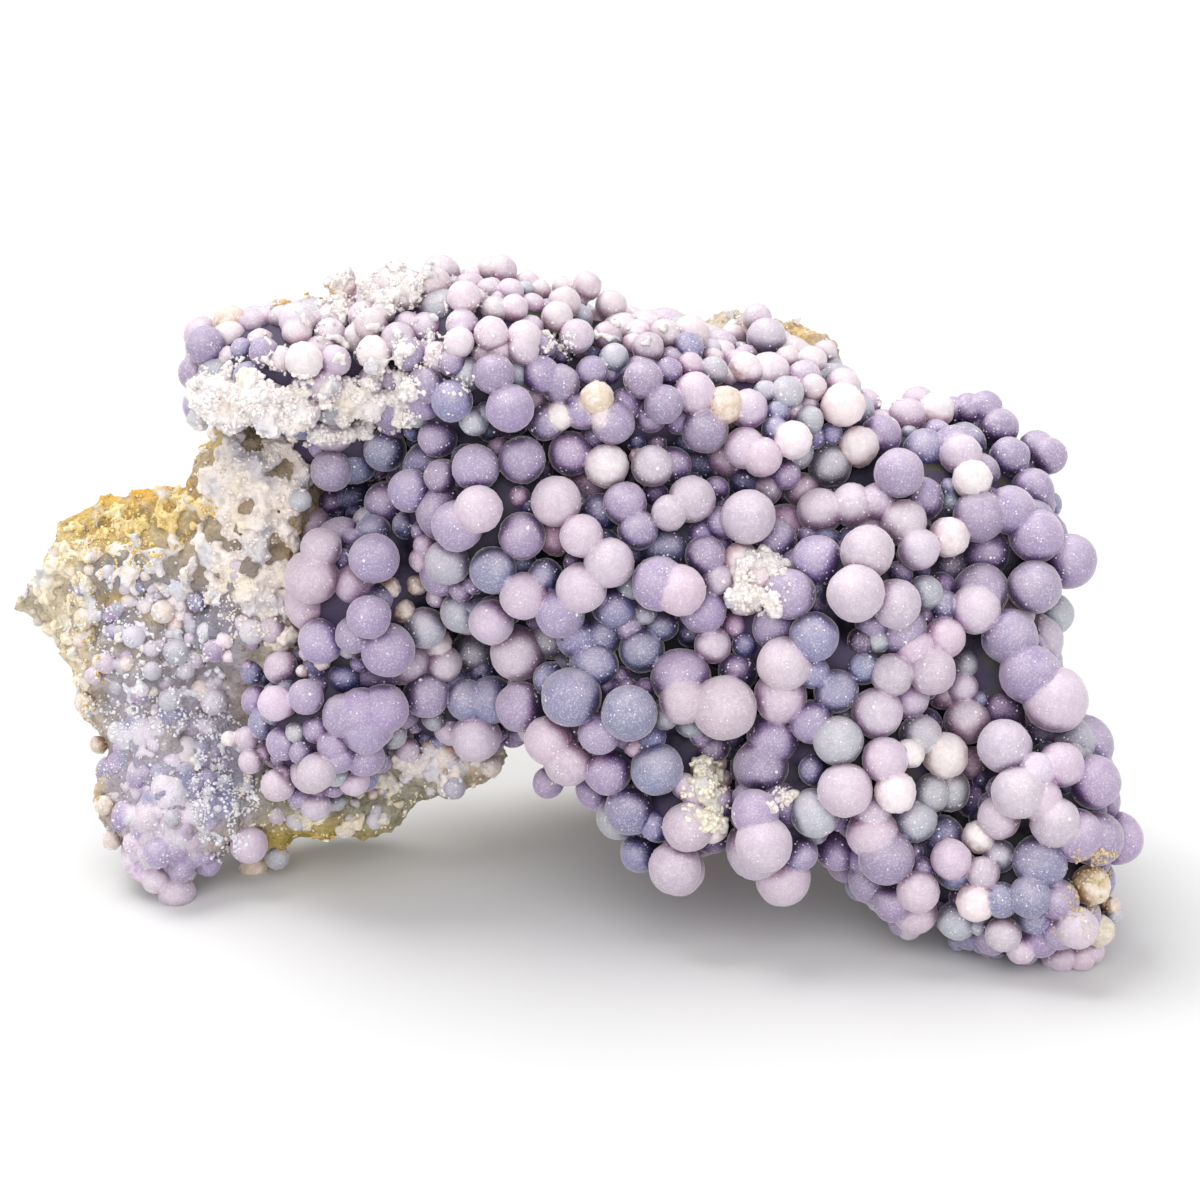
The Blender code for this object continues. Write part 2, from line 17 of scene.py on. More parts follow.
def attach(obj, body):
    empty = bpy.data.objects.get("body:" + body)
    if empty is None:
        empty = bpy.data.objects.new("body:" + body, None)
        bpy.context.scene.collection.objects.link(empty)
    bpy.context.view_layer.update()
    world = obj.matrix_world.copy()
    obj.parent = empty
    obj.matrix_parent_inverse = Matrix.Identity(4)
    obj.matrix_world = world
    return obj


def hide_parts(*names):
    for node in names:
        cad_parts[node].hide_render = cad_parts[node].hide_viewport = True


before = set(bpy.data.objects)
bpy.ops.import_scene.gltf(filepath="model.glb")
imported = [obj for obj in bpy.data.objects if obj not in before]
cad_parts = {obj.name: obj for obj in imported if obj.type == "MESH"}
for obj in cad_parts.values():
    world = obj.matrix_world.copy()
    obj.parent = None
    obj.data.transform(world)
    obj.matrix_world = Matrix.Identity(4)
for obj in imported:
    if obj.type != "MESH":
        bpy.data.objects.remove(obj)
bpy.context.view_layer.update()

MM = 0.001

# The front view: an eye that looks down a little at a point in the middle of the specimen.
EYE_DISTANCE = 0.304
EYE_ELEVATION = math.radians(19)
FOCAL = 1903
MIDDLE = 600
AIM = Vector((0, 0, 0.047))
RIGHT = Vector((1, 0, 0))
AHEAD = Vector((0, math.cos(EYE_ELEVATION), -math.sin(EYE_ELEVATION)))
UPWARD = Vector((0, math.sin(EYE_ELEVATION), math.cos(EYE_ELEVATION)))
EYE = AIM - AHEAD * EYE_DISTANCE

# Moves the finished specimen so that its box is centred over the origin.
TO_CENTRE = Vector((7.46, 0.69, 0)) * MM

# How finely the two bodies, the rock's skin and the crusts are melted together.
BODY_VOXEL = 1.6 * MM
ROCK_VOXEL = 0.88 * MM
CRUST_VOXEL = 0.37 * MM

# The materials paint shade in crevices by how enclosed each place is.
# The grid that tells how enclosed each place is: its step, its margin and how far it looks round.
GRID_STEP = 1.0 * MM
GRID_MARGIN = 20 * MM
LOOK_ROUND = 2.4 * MM
FILL_DEPTHS = np.arange(0.5, 6, 0.7) * MM

# The crystal skin of the balls: how far the tints of two balls run together, and the size and
# height of its crystals on clean and on crusted balls.
TINT_EDGE = 0.08 * MM
DRUSE_SIZE = 0.7 * MM
DRUSE_HIGH = 0.06 * MM
CRUST_SIZE = 1.0 * MM
CRUST_HIGH = 0.30 * MM

# In a fine piece, balls over the first radius get finer faces. In others, those under the second
# get coarser ones.
FINE_FROM = 3.7 * MM
COARSE_UNDER = 2.4 * MM

# How crusted a ball is, by its tint.
CRUSTED = {"m": 0.5, "w": 1.0, "y": 1.0, "c": 0.9, "p": 0.3, "g": 0.15}

SEED = 7
BLOCK = 0.4

# How far a ball departs from round, and how broad its bumps are, in radii.
OUT_OF_ROUND = 0.045
BUMPS_PER_RADIUS = 1.3

# Balls are joined in groups whose members are this far apart, in sums of their radii.
CLEAR_OF = 1.05

# A ball that stands this far off its body, in radii, gets smaller balls between.
STALK_FROM = 0.6
STALK_SHARE = 0.72

# How much the shade of a ball, and each of its three colours, varies.
BALL_SHADES = (0.90, 1.10)
BALL_HUES = (0.96, 1.04)

# A random ball is kept where its middle is this far above the ground, in radii.
LEAST_ABOVE = 0.4

# How far a ball's middle lies in front of its body's surface, in radii, by its level.
LIFT = {0: -0.35, 1: 0.05, 2: 0.5, 3: 0.95}

# A ball seen edge on moves towards the eye by these steps, until it is this clear of its body, in
# radii.
FORWARD_STEP = 0.15
MOST_FORWARD = 3
LEAST_CLEAR = 0.2

# Lumps of the agate body: column and row of the middle in the front view, its y and its three
# radii in millimetres.
AGATE_MASSES = (
    (290, 365, 2, (15, 14, 8)),
    (400, 350, 4, (10, 12, 11)),
    (480, 365, 4, (20, 16, 13)),
    (620, 400, 6, (22, 17, 13)),
    (752, 422, 8, (18, 17, 13)),
    (900, 498, 4, (20, 17, 12)),
    (988, 548, 2, (10, 16, 14)),
    (985, 665, -6, (10, 16, 16)),
    (1030, 800, -18, (12, 15, 16)),
    (1020, 890, -26, (13, 11, 10)),
    (640, 560, 0, (28, 19, 20)),
    (500, 520, 0, (16, 16, 18)),
    (830, 620, -4, (24, 20, 20)),
    (640, 695, -7, (20, 17, 13)),
    (850, 755, -14, (18, 16, 13)),
    (680, 800, -18, (7, 9, 8)),
    (770, 815, -22, (7, 9, 8)),
    (905, 850, -22, (10, 11, 9)),
    (370, 600, 0, (11, 14, 15)),
    (330, 715, -4, (11, 12, 12)),
    (350, 432, 6, (12, 10, 7)),
    (470, 690, 2, (14, 10, 9)),
)

# Lumps of the host rock, in the same way: neck, wing, leg, underside, back, ridge and rear foot.
ROCK_MASSES = (
    (262, 520, 6, (13, 13, 20)),
    (272, 630, 5, (13, 12, 16)),
    (155, 560, 12, (15, 11, 14)),
    (62, 600, 16, (7, 8, 8)),
    (100, 560, 13, (9, 8, 9)),
    (95, 640, 10, (7, 8, 8)),
    (38, 596, 16, (4.5, 5, 5)),
    (170, 660, 8, (15, 12, 12)),
    (175, 745, 4, (12, 12, 14)),
    (180, 825, -6, (9, 10, 9)),
    (108, 690, 8, (7, 9, 9)),
    (128, 800, -2, (6, 8, 9)),
    (262, 715, 6, (9, 10, 9)),
    (245, 800, 0, (11, 11, 9)),
    (335, 795, 2, (14, 12, 8)),
    (440, 745, 4, (14, 12, 7)),
    (440, 520, 24, (28, 13, 24)),
    (560, 430, 21, (30, 11, 16)),
    (610, 600, 27, (26, 14, 21)),
    (800, 560, 26, (28, 12, 24)),
    (930, 620, 19, (17, 12, 22)),
    (735, 375, 22, (20, 9, 11)),
    (715, 690, 29, (17, 11, 14)),
    (745, 750, 32, (16, 9, 12)),
)

# Hollows of the agate body and of the rock, as column, row, radius and depth in radii.
AGATE_PITS = (
    (480, 442, 10, 1.6),
    (670, 438, 10, 1.5),
    (865, 477, 11, 1.5),
    (850, 628, 18, 1.8),
    (678, 742, 16, 1.6),
    (797, 776, 15, 1.8),
    (550, 556, 17, 1.8),
    (955, 822, 14, 1.8),
    (990, 680, 13, 1.5),
    (1025, 838, 14, 1.6),
    (404, 556, 14, 1.8),
    (336, 612, 9, 1.5),
)
ROCK_PITS = (
    (277, 477, 10, 1.2),
    (262, 581, 9, 2.0),
    (92, 586, 11, 1.0),
    (215, 512, 11, 1.0),
    (294, 506, 9, 1.0),
    (268, 838, 8, 1.0),
)

# Planes along which the rock broke off: a point in millimetres, and the side that is gone.
BREAKS = (
    ((10, 35, 60), (0.05, 1, 0.3)),
    ((50, 32, 45), (0.4, 1, -0.1)),
    ((-20, 33, 60), (-0.2, 1, 0.1)),
    ((20, 38, 30), (0.1, 1, -0.05)),
    ((-72, 20, 45), (-0.25, 1, 0.2)),
)

# Balls by the part of the front view that they fill: column, row, radius, level and tint.
LEDGE = (
    (203, 336, 19, 1, "p"), (206, 346, 20, 2, "v"), (230, 323, 16.5, 1, "y"),
    (196, 373, 18, 1, "v"), (203, 388, 17, 1, "w"), (200, 406, 18, 1, "v"), (255, 325, 16, 0, "p"),
    (262, 318, 11, 1, "m"), (282, 318, 13, 1, "m"), (297, 320, 18, 2, "m"), (297, 333, 15, 1, "m"),
    (304, 360, 18, 3, "w"), (335, 361, 16, 2, "p"), (330, 334, 16, 1, "m"), (374, 353, 17, 3, "w"),
    (371, 325, 17, 1, "m"), (383, 311, 12, 2, "m"), (343, 287, 14, 2, "w"), (264, 352, 15, 1, "v"),
    (242, 350, 12, 0, "b"), (325, 387, 17, 1, "p"), (372, 380, 14, 1, "p"), (230, 400, 22, 1, "w"),
    (268, 405, 24, 1, "w"), (300, 410, 20, 1, "w"),
)
CREST = (
    (441, 274, 19.5, 1, "m"), (433, 285, 18, 2, "m"), (464, 297, 16.5, 3, "m"),
    (407, 296, 14, 2, "m"), (472, 279, 12, 1, "m"), (490, 270, 13, 2, "m"), (502, 270, 15, 2, "m"),
    (488, 290, 12, 1, "m"), (510, 292, 14, 1, "p"), (528, 282, 11.5, 2, "m"),
    (540, 291, 11, 1, "m"), (495, 310, 14, 1, "m"), (514, 308, 14, 2, "m"), (532, 306, 13, 0, "p"),
    (563, 288, 11, 2, "m"), (564, 303, 16, 2, "m"), (557, 317, 16, 2, "m"),
    (587, 286, 14.5, 3, "m"), (611, 306, 15.5, 3, "m"), (462, 325, 16, 1, "p"),
    (491, 334, 17.5, 2, "m"), (459, 342, 15, 3, "m"), (524, 337, 17, 2, "m"),
    (523, 350, 16, 2, "p"), (577, 336, 17, 3, "p"), (607, 337, 15, 2, "p"), (398, 340, 18, 1, "p"),
    (409, 354, 17, 2, "v"), (452, 363, 14, 1, "v"), (425, 385, 19, 1, "v"), (452, 401, 21, 2, "b"),
    (425, 402, 18, 0, "v"), (474, 421, 15, 2, "g"), (486, 412, 11, 1, "g"), (494, 374, 21, 2, "v"),
    (540, 375, 20, 1, "v"), (510, 408, 24, 3, "v"), (560, 384, 20, 2, "v"),
    (592, 372, 16.5, 2, "v"), (614, 358, 15, 2, "g"), (597, 398, 16.5, 3, "y"),
    (559, 416, 14.5, 3, "w"), (604, 418, 13.5, 3, "w"), (546, 421, 19.5, 2, "v"),
    (582, 411, 19, 1, "v"), (613, 423, 22, 1, "v"), (571, 454, 22.5, 2, "v"),
    (522, 460, 24, 2, "v"), (438, 438, 20, 1, "v"), (499, 449, 12, 1, "p"),
    (475.5, 468, 24, 2, "v"), (442, 477, 18.5, 1, "v"), (606.5, 466, 21.5, 3, "w"),
)
UPPER = (
    (637, 333, 13, 1, "w"), (648, 348, 16, 2, "p"), (665, 334, 15, 2, "m"), (690, 334, 19, 1, "m"),
    (688, 348, 16, 1, "b"), (710, 350, 12, 0, "l"), (733, 338, 14, 1, "m"),
    (757, 318, 14.5, 3, "m"), (766, 337, 19, 2, "l"), (744, 367, 15, 2, "w"),
    (752, 372, 11, 2, "m"), (787, 358, 12, 1, "m"), (811, 362, 16, 1, "m"), (825, 352, 12, 1, "m"),
    (690, 366, 14, 1, "p"), (713, 371, 15, 2, "g"), (643, 379, 20, 2, "v"), (668, 372, 15, 1, "v"),
    (664, 404, 20, 2, "v"), (695, 393, 21, 2, "p"), (625, 405, 18, 0, "v"), (650, 415, 18, 0, "v"),
    (724, 405, 19, 3, "y"), (748, 409, 20, 1, "p"), (705, 429, 24, 2, "v"), (697, 465, 22, 0, "b"),
    (672, 466, 20, 1, "v"), (652, 466, 21, 3, "p"), (637, 456, 7.5, 3, "w"), (636, 442, 10, 0, "b"),
    (745, 448, 21, 2, "p"), (762, 457, 20, 3, "p"), (793, 440, 18.5, 3, "w"),
    (775, 430, 14, 1, "b"), (778, 412, 12, 1, "b"), (787, 393, 17, 2, "g"), (765, 392, 12, 1, "g"),
    (813, 388, 14, 2, "m"), (809, 420, 15, 1, "g"), (831, 434, 12, 2, "b"), (830, 466, 22, 1, "g"),
    (785, 474, 16, 2, "v"), (743, 482, 15, 1, "b"), (765, 488, 18, 1, "p"), (802, 490, 18, 2, "p"),
    (692, 499, 23.5, 2, "p"), (716, 490, 14, 1, "v"), (748, 517, 27, 3, "p"),
    (625, 503.5, 22, 2, "v"), (669, 513, 18, 3, "p"), (720, 523, 17, 1, "v"),
    (638, 530, 20.5, 1, "v"),
)
SHOULDER = (
    (843, 386, 18, 2, "m"), (843, 405, 21.5, 3, "w"), (866, 404, 15, 1, "p"),
    (859, 446, 19, 3, "w"), (881, 435, 20.5, 2, "v"), (899, 473, 24.5, 3, "v"),
    (918, 404, 17.5, 1, "p"), (907, 417, 19, 2, "p"), (936, 410, 17.5, 3, "w"),
    (952, 412, 16, 1, "v"), (968, 411, 18, 1, "v"), (985, 408, 17.5, 2, "v"),
    (999, 428, 20, 2, "v"), (925, 452, 24, 0, "b"), (953, 446, 21, 1, "v"), (961, 455, 21, 2, "p"),
    (972, 479, 19, 3, "w"), (1009, 457, 20, 2, "v"), (1036, 448, 18, 2, "v"),
    (1048, 456, 19, 2, "v"), (1032, 490, 22, 1, "v"), (1048, 505, 14, 1, "b"),
    (979, 516, 26, 2, "v"), (1010, 510, 25, 2, "v"), (920, 500, 24, 0, "v"),
    (949, 537, 19.5, 3, "w"), (904, 523, 23, 2, "p"), (918.5, 549, 21, 3, "p"),
    (852, 505, 22, 2, "p"), (820, 511, 23, 2, "p"), (878, 502, 20, 1, "p"),
    (867, 552, 26.5, 3, "p"), (817, 561, 26, 1, "v"), (1036, 536, 27, 2, "v"),
    (985, 552, 27, 0, "v"), (1069, 561, 27, 3, "v"), (1034.5, 587, 26.5, 3, "v"),
    (948, 567, 18, 0, "g"),
)
CENTRE_LEFT = (
    (331.5, 471, 20.5, 2, "v"), (385, 450, 22, 1, "b"), (353, 497, 23, 1, "b"),
    (388, 505, 24, 1, "v"), (332, 503, 15, 1, "v"), (410, 490.5, 22, 2, "v"),
    (478.5, 509, 24, 3, "p"), (457, 526, 25.5, 2, "v"), (519, 497, 11.5, 0, "p"),
    (522, 536, 24, 1, "v"), (556, 501.5, 25, 3, "p"), (581.5, 536, 21.8, 3, "p"),
    (600, 515, 22, 0, "b"), (609, 563, 25, 2, "p"), (581.5, 588, 25, 2, "p"),
    (523.5, 596, 23.5, 3, "p"), (545, 577, 19, 1, "b"), (493, 570, 24, 1, "b"),
    (447.5, 562, 23, 1, "g"), (421.5, 560, 12.5, 1, "p"), (407, 525, 15, 0, "b"),
    (427, 546, 14, 0, "p"), (437, 597, 11, 1, "p"), (462, 588, 14, 0, "v"), (461, 612, 21, 1, "g"),
    (484, 611, 17, 1, "b"), (491.5, 622, 22.3, 3, "p"), (425, 628, 21, 2, "g"),
    (437, 643, 14, 3, "w"), (444, 664, 18, 3, "p"), (474, 651, 23, 1, "g"),
    (519, 652, 28.5, 2, "p"), (560, 613, 25, 2, "v"), (578, 637, 22, 1, "b"),
    (594, 665, 25, 1, "b"), (551, 679, 18, 1, "b"), (615, 605, 24, 0, "b"), (601, 633, 24, 0, "b"),
    (417, 584, 11, 0, "c"), (389, 588, 11, 0, "c"), (403, 611, 12, 0, "c"), (374, 558, 25, 3, "v"),
    (321, 548, 20, 3, "p"), (312, 527, 22, 1, "p"), (312, 577, 27, 2, "p"), (369, 617, 22, 3, "v"),
    (354, 635, 19, 1, "v"), (388, 650, 27, 2, "v"), (321, 641, 23, 1, "v"), (347, 677, 20, 0, "b"),
)
CENTRE = (
    (659, 583.5, 27.5, 2, "v"), (679.5, 590.5, 25.5, 3, "p"), (705, 555.5, 20.5, 1, "v"),
    (716, 578.5, 16.5, 2, "p"), (703, 610, 24, 1, "v"), (712.5, 645, 18.5, 3, "p"),
    (774, 541, 23, 1, "v"), (790, 594, 25.5, 2, "v"), (856, 593, 28.5, 3, "p"),
    (896, 604, 25, 2, "p"), (901, 631, 27, 0, "v"), (814, 637, 25, 1, "b"), (784, 664, 27, 2, "p"),
    (780.5, 697, 26.5, 2, "p"), (738, 672, 20, 1, "v"), (813, 672, 17, 1, "b"),
    (836, 691, 22.5, 1, "b"), (681, 678, 30, 1, "v"), (684, 699, 25, 2, "p"),
    (724.5, 708, 32, 3, "p"), (753, 723, 9.5, 3, "w"), (642, 650, 23, 1, "b"),
    (662, 624, 17.5, 0, "b"), (861.5, 641, 14.5, 0, "d"), (863, 667, 18.5, 0, "b"),
    (812, 722, 22.5, 2, "v"), (774, 736, 27, 1, "v"), (761, 766, 27.5, 1, "v"),
    (712, 745, 19, 0, "v"), (838, 741, 25, 2, "g"), (740, 560, 18, 1, "w"), (765, 575, 20, 1, "w"),
    (745, 595, 20, 1, "w"), (735, 625, 14, 0, "p"),
)
LOWER = (
    (426, 695, 23.5, 2, "v"), (467, 700, 21, 1, "b"), (492, 700, 24, 1, "b"),
    (521, 707, 25, 2, "v"), (571, 697, 30, 2, "b"), (476, 737.5, 24.5, 2, "p"),
    (549, 740, 24.5, 2, "p"), (568, 761, 24.5, 2, "p"), (548, 783, 16, 0, "v"),
    (629, 713, 28, 2, "b"), (600, 733, 22, 1, "v"), (608, 770, 25, 1, "v"), (597, 789, 22, 1, "v"),
    (657, 769, 26.5, 2, "b"), (636, 745, 13, 0, "p"), (630.5, 809.5, 25, 2, "b"),
    (618, 818, 22, 1, "g"), (641, 852, 21, 1, "b"), (658, 825, 18, 0, "b"), (675, 868, 26, 3, "p"),
    (679, 870, 26, 1, "p"), (688, 827, 25, 2, "p"), (713, 828, 14.5, 3, "w"),
    (722, 805, 18, 1, "v"), (684, 786, 13, 1, "p"), (695, 794, 14, 2, "p"), (723, 778.5, 9, 2, "w"),
    (718, 763, 9, 2, "w"), (703, 772, 13, 1, "y"), (755, 813, 24, 2, "v"), (764, 844, 28.5, 2, "p"),
    (783, 879, 27, 2, "p"), (800, 853, 18, 1, "v"), (815, 813, 25, 1, "g"), (838, 848, 23, 1, "v"),
    (845, 790, 27, 2, "p"), (815, 770, 17, 0, "b"), (872, 833, 26, 2, "p"), (872, 810, 20, 1, "p"),
    (914, 820, 23, 1, "g"), (886, 857, 28, 1, "v"), (918, 891.5, 21.3, 2, "p"),
    (893, 903, 20, 1, "v"), (915, 912, 22, 1, "p"), (902, 922, 14, 1, "v"), (909, 927, 13, 1, "p"),
    (455, 686, 20, 0, "b"), (482, 672, 18, 0, "b"), (500, 690, 16, 0, "v"),
)
RIGHT_SIDE = (
    (981, 591, 28, 2, "v"), (975.5, 609, 24.5, 3, "p"), (925, 593, 18, 1, "g"),
    (942, 606, 17, 1, "b"), (944, 638, 21, 2, "p"), (932, 671, 23.5, 3, "p"),
    (915, 650, 21, 1, "p"), (892, 675, 21.5, 2, "p"), (877, 713, 25.5, 2, "p"),
    (907, 698, 22, 1, "p"), (943, 694, 16, 1, "p"), (962, 687, 16, 1, "p"), (965, 663, 17, 0, "g"),
    (967.5, 721, 23.5, 2, "p"), (1010, 637, 28, 1, "v"), (1052, 614, 22, 0, "g"),
    (1030, 674, 30, 2, "v"), (1055, 699, 31.5, 3, "p"), (1004.5, 746, 26.5, 3, "p"),
    (1040, 735, 17, 0, "v"), (920, 736, 22, 1, "g"), (945, 755, 22.5, 2, "w"),
    (910, 753.5, 14, 3, "w"), (885, 760, 23, 2, "p"), (895.5, 792, 20.5, 3, "w"),
    (971, 763, 17, 1, "p"), (1036, 771, 18.5, 3, "p"), (1018, 793, 26, 3, "p"),
    (1040, 800, 22, 2, "p"), (1061, 765, 22.5, 2, "p"), (1093, 782, 27, 1, "v"),
    (1055, 822, 25, 2, "p"), (1075, 835, 27, 1, "v"), (1095, 838, 28, 1, "v"),
    (1116, 838, 27, 1, "v"), (999, 818, 21.5, 2, "p"), (979, 837, 16.5, 3, "w"),
    (951, 859, 20, 3, "p"), (983, 873, 16.5, 3, "p"), (999, 856, 17, 1, "g"),
    (955, 868, 22, 1, "b"), (940, 838, 24, 0, "b"), (930, 793, 20, 1, "g"), (948, 790, 22, 1, "g"),
    (1040, 862, 27, 1, "b"), (1030, 897, 21.5, 2, "b"), (1001, 900, 18, 1, "b"),
    (976, 902, 19, 2, "w"), (957, 920, 20, 1, "g"), (1058, 900, 21, 1, "v"),
    (1077, 928, 21, 3, "p"), (1098, 930, 16, 2, "y"), (1090, 885, 20, 1, "y"),
    (1112, 905, 8, 2, "y"), (1113, 915, 9, 2, "g"), (1060, 930, 20, 1, "v"),
    (1003, 934, 18, 1, "p"), (1021, 949, 15, 1, "p"), (1059, 956, 18, 1, "p"),
    (1081, 957, 14, 1, "p"), (1092, 950, 13, 1, "p"), (1040, 938, 20, 0, "v"),
    (1035, 915, 20, 0, "b"), (958, 941, 10, 0, "b"), (982, 944, 10, 0, "b"),
)
LEFT_CLUSTER = (
    (241, 567, 17, 1, "p"), (281, 668, 17, 2, "p"), (275.5, 703.5, 17.5, 3, "p"),
    (257, 701, 16, 1, "v"), (306, 697, 18, 2, "v"), (254, 671, 14, 1, "b"), (265, 723, 17, 0, "b"),
    (284, 743, 18, 0, "v"), (317, 729, 15, 0, "v"), (316.5, 772, 19, 3, "p"),
    (277.7, 785, 16.8, 3, "p"), (316, 806, 15, 2, "p"), (247.5, 738.5, 12.6, 2, "p"),
    (229, 738.5, 7.5, 2, "w"), (251, 761, 13, 2, "p"), (383, 709, 25.3, 3, "v"),
    (361, 712, 25, 2, "v"), (345, 716, 23, 1, "v"), (366, 729, 25, 2, "v"), (333, 745, 16, 1, "v"),
    (338, 757, 17, 1, "v"), (365, 757, 20, 1, "v"), (354, 780, 16, 1, "p"), (334, 786, 12, 0, "v"),
    (300, 794, 14, 0, "v"), (307, 654, 7, 3, "w"), (302, 671, 6, 3, "w"), (322, 662, 8, 3, "w"),
)
REGIONS = {
    "ledge": LEDGE,
    "crest": CREST,
    "upper": UPPER,
    "shoulder": SHOULDER,
    "centre_left": CENTRE_LEFT,
    "centre": CENTRE,
    "lower": LOWER,
    "right_side": RIGHT_SIDE,
    "left_cluster": LEFT_CLUSTER,
}

ROCK_BALLS = (
    (177, 893, 18.5, 1, "p"), (156, 880, 14, 1, "p"), (181, 869, 14, 1, "v"),
    (159, 852, 16, 1, "v"), (208, 864, 13, 1, "v"), (249, 845, 18.5, 2, "p"),
    (254, 867, 14.5, 1, "y"), (277, 857, 13, 1, "g"), (454, 788, 12.5, 1, "g"),
    (406, 750, 14, 1, "p"), (438, 728, 15, 1, "y"), (134, 637, 12, 1, "l"), (177, 652, 14, 1, "g"),
    (214, 651, 12, 1, "v"), (163, 612, 12, 1, "c"), (252, 632, 13, 1, "l"), (272, 630, 14, 1, "p"),
    (170, 700, 12, 1, "g"), (214, 702, 14, 1, "l"), (86, 618, 12, 1, "y"), (300, 500, 12, 1, "g"),
    (432, 748, 11, 1, "c"), (491, 766, 11, 2, "c"), (198, 602, 11, 1, "b"), (109, 572, 8, 1, "l"),
    (106, 663, 11, 1, "p"), (152, 671, 10, 1, "g"), (152, 649, 9, 1, "l"), (128, 664, 8, 1, "c"),
    (172, 818, 9, 1, "g"), (85, 703, 11, 1, "y"), (99, 745, 9, 1, "y"), (104, 805, 10, 1, "y"),
    (112, 840, 10, 1, "c"),
)

# Small balls that fill the sides the front view doesn't show, by radius in millimetres.
FILLER_RADII = (3.4, 5.0)
FILLER_TRIES = 2600
FILLER_SPACING = 0.62
FILLER_SUNK = (0.3, 0.6)
ROCK_CLEARANCE = 2.2 * MM

# Smaller balls in the gaps between the others, a little larger behind.
GAP_RADII = (1.5, 2.8)
GAP_TRIES = 5200
GAP_SPACING = 0.78
GAP_SUNK = (0.1, 0.4)
GAP_LARGER = 1.35
FACES_AWAY = 0.2

# How wide a pit stays free of balls, in its radii.
PIT_RIM = 1.3

# Broad swells and fine unevenness of the rock's skin, as size and depth.
ROUGHNESS = ((17 * MM, 2.6 * MM), (6 * MM, 1.1 * MM))
FINE_ROUGHNESS = ((4.5 * MM, 1.3 * MM), (1.7 * MM, 0.7 * MM))

# Rounded crumbs on the rock's skin, as size and depth.
CRUMBS = ((2.6 * MM, 1.1 * MM), (1.3 * MM, 0.5 * MM))

# The same for the crusts, and the size of the bare places among their grains.
CRUST_ROUGHNESS = ((1.6 * MM, 0.45 * MM), (0.8 * MM, 0.3 * MM))
CRUST_CRUMBS = ((1.1 * MM, 0.35 * MM),)
BARE_PLACES = 2.6 * MM
BARE_UNDER = -0.12

# Linear colours of the balls by tint: pinkish, violet, blue-grey, grey-green, white, ochre,
# beige, dark, bleached and pale blue-grey.
TINTS = {
    "p": (0.55, 0.45, 0.56),
    "v": (0.33, 0.26, 0.42),
    "b": (0.22, 0.22, 0.37),
    "g": (0.40, 0.41, 0.47),
    "w": (0.78, 0.69, 0.71),
    "y": (0.67, 0.55, 0.39),
    "c": (0.64, 0.55, 0.46),
    "d": (0.12, 0.07, 0.16),
    "m": (0.66, 0.57, 0.63),
    "l": (0.58, 0.54, 0.61),
}
FILLER_TINTS = "vvppvbgp"
# The balls in the gaps take the darker tints, partly as painted shade where they sit deep.
GAP_TINTS = "bvvbgv"

# Where the balls are bleached: column, row, and half the width and height.
BLEACHED = ((380, 325, 160, 50), (800, 375, 110, 50), (650, 320, 90, 35))
BLEACHED_TINTS = "mpmgmp"

# Small balls on the rock: column, row, two radii, how many, their radii in millimetres, how deep
# they sink in radii, and their tints.
ROCK_BEADS = (
    (150, 650, 80, 60, 40, (0.9, 1.8), 0.45, "lpvwgc"),
    (215, 630, 50, 50, 14, (0.9, 1.6), 0.4, "wplv"),
    (165, 775, 60, 72, 110, (1.2, 2.6), 0.88, "llbvl"),
    (165, 845, 50, 30, 50, (1.2, 2.4), 0.65, "lpvl"),
    (115, 585, 50, 25, 14, (0.8, 1.4), 0.4, "blc"),
    (330, 800, 60, 30, 22, (0.9, 2.0), 0.4, "gpcl"),
    (430, 755, 70, 22, 24, (0.9, 2.2), 0.3, "pcgw"),
)

# Colours on the rock: column, row, two radii in the front view, and the linear colour.
ROCK_COLOUR = (0.66, 0.55, 0.40)
ROCK_STAINS = (
    (110, 515, 110, 40, (0.62, 0.42, 0.10)),
    (150, 487, 70, 16, (0.86, 0.46, 0.03)),
    (60, 545, 50, 14, (0.76, 0.56, 0.18)),
    (40, 590, 40, 40, (0.86, 0.77, 0.60)),
    (250, 470, 70, 60, (0.36, 0.28, 0.20)),
    (212, 440, 20, 18, (0.76, 0.56, 0.18)),
    (250, 560, 50, 60, (0.32, 0.26, 0.22)),
    (120, 570, 40, 18, (0.20, 0.22, 0.30)),
    (150, 620, 80, 50, (0.24, 0.25, 0.33)),
    (120, 600, 20, 8, (0.70, 0.50, 0.14)),
    (160, 618, 20, 8, (0.70, 0.50, 0.14)),
    (210, 630, 50, 50, (0.32, 0.31, 0.40)),
    (160, 690, 90, 40, (0.40, 0.37, 0.46)),
    (160, 775, 75, 65, (0.30, 0.30, 0.52)),
    (225, 790, 36, 75, (0.24, 0.25, 0.46)),
    (175, 855, 60, 40, (0.56, 0.46, 0.62)),
    (70, 650, 18, 80, (0.86, 0.74, 0.52)),
    (86, 790, 14, 80, (0.76, 0.56, 0.22)),
    (300, 790, 60, 30, (0.30, 0.30, 0.23)),
    (310, 840, 90, 18, (0.52, 0.40, 0.05)),
    (370, 815, 40, 14, (0.32, 0.34, 0.20)),
    (400, 790, 60, 24, (0.34, 0.33, 0.27)),
    (460, 765, 22, 14, (0.78, 0.52, 0.14)),
    (495, 755, 40, 20, (0.86, 0.76, 0.62)),
    (720, 320, 120, 30, (0.78, 0.70, 0.60)),
    (800, 330, 30, 16, (0.78, 0.54, 0.22)),
)

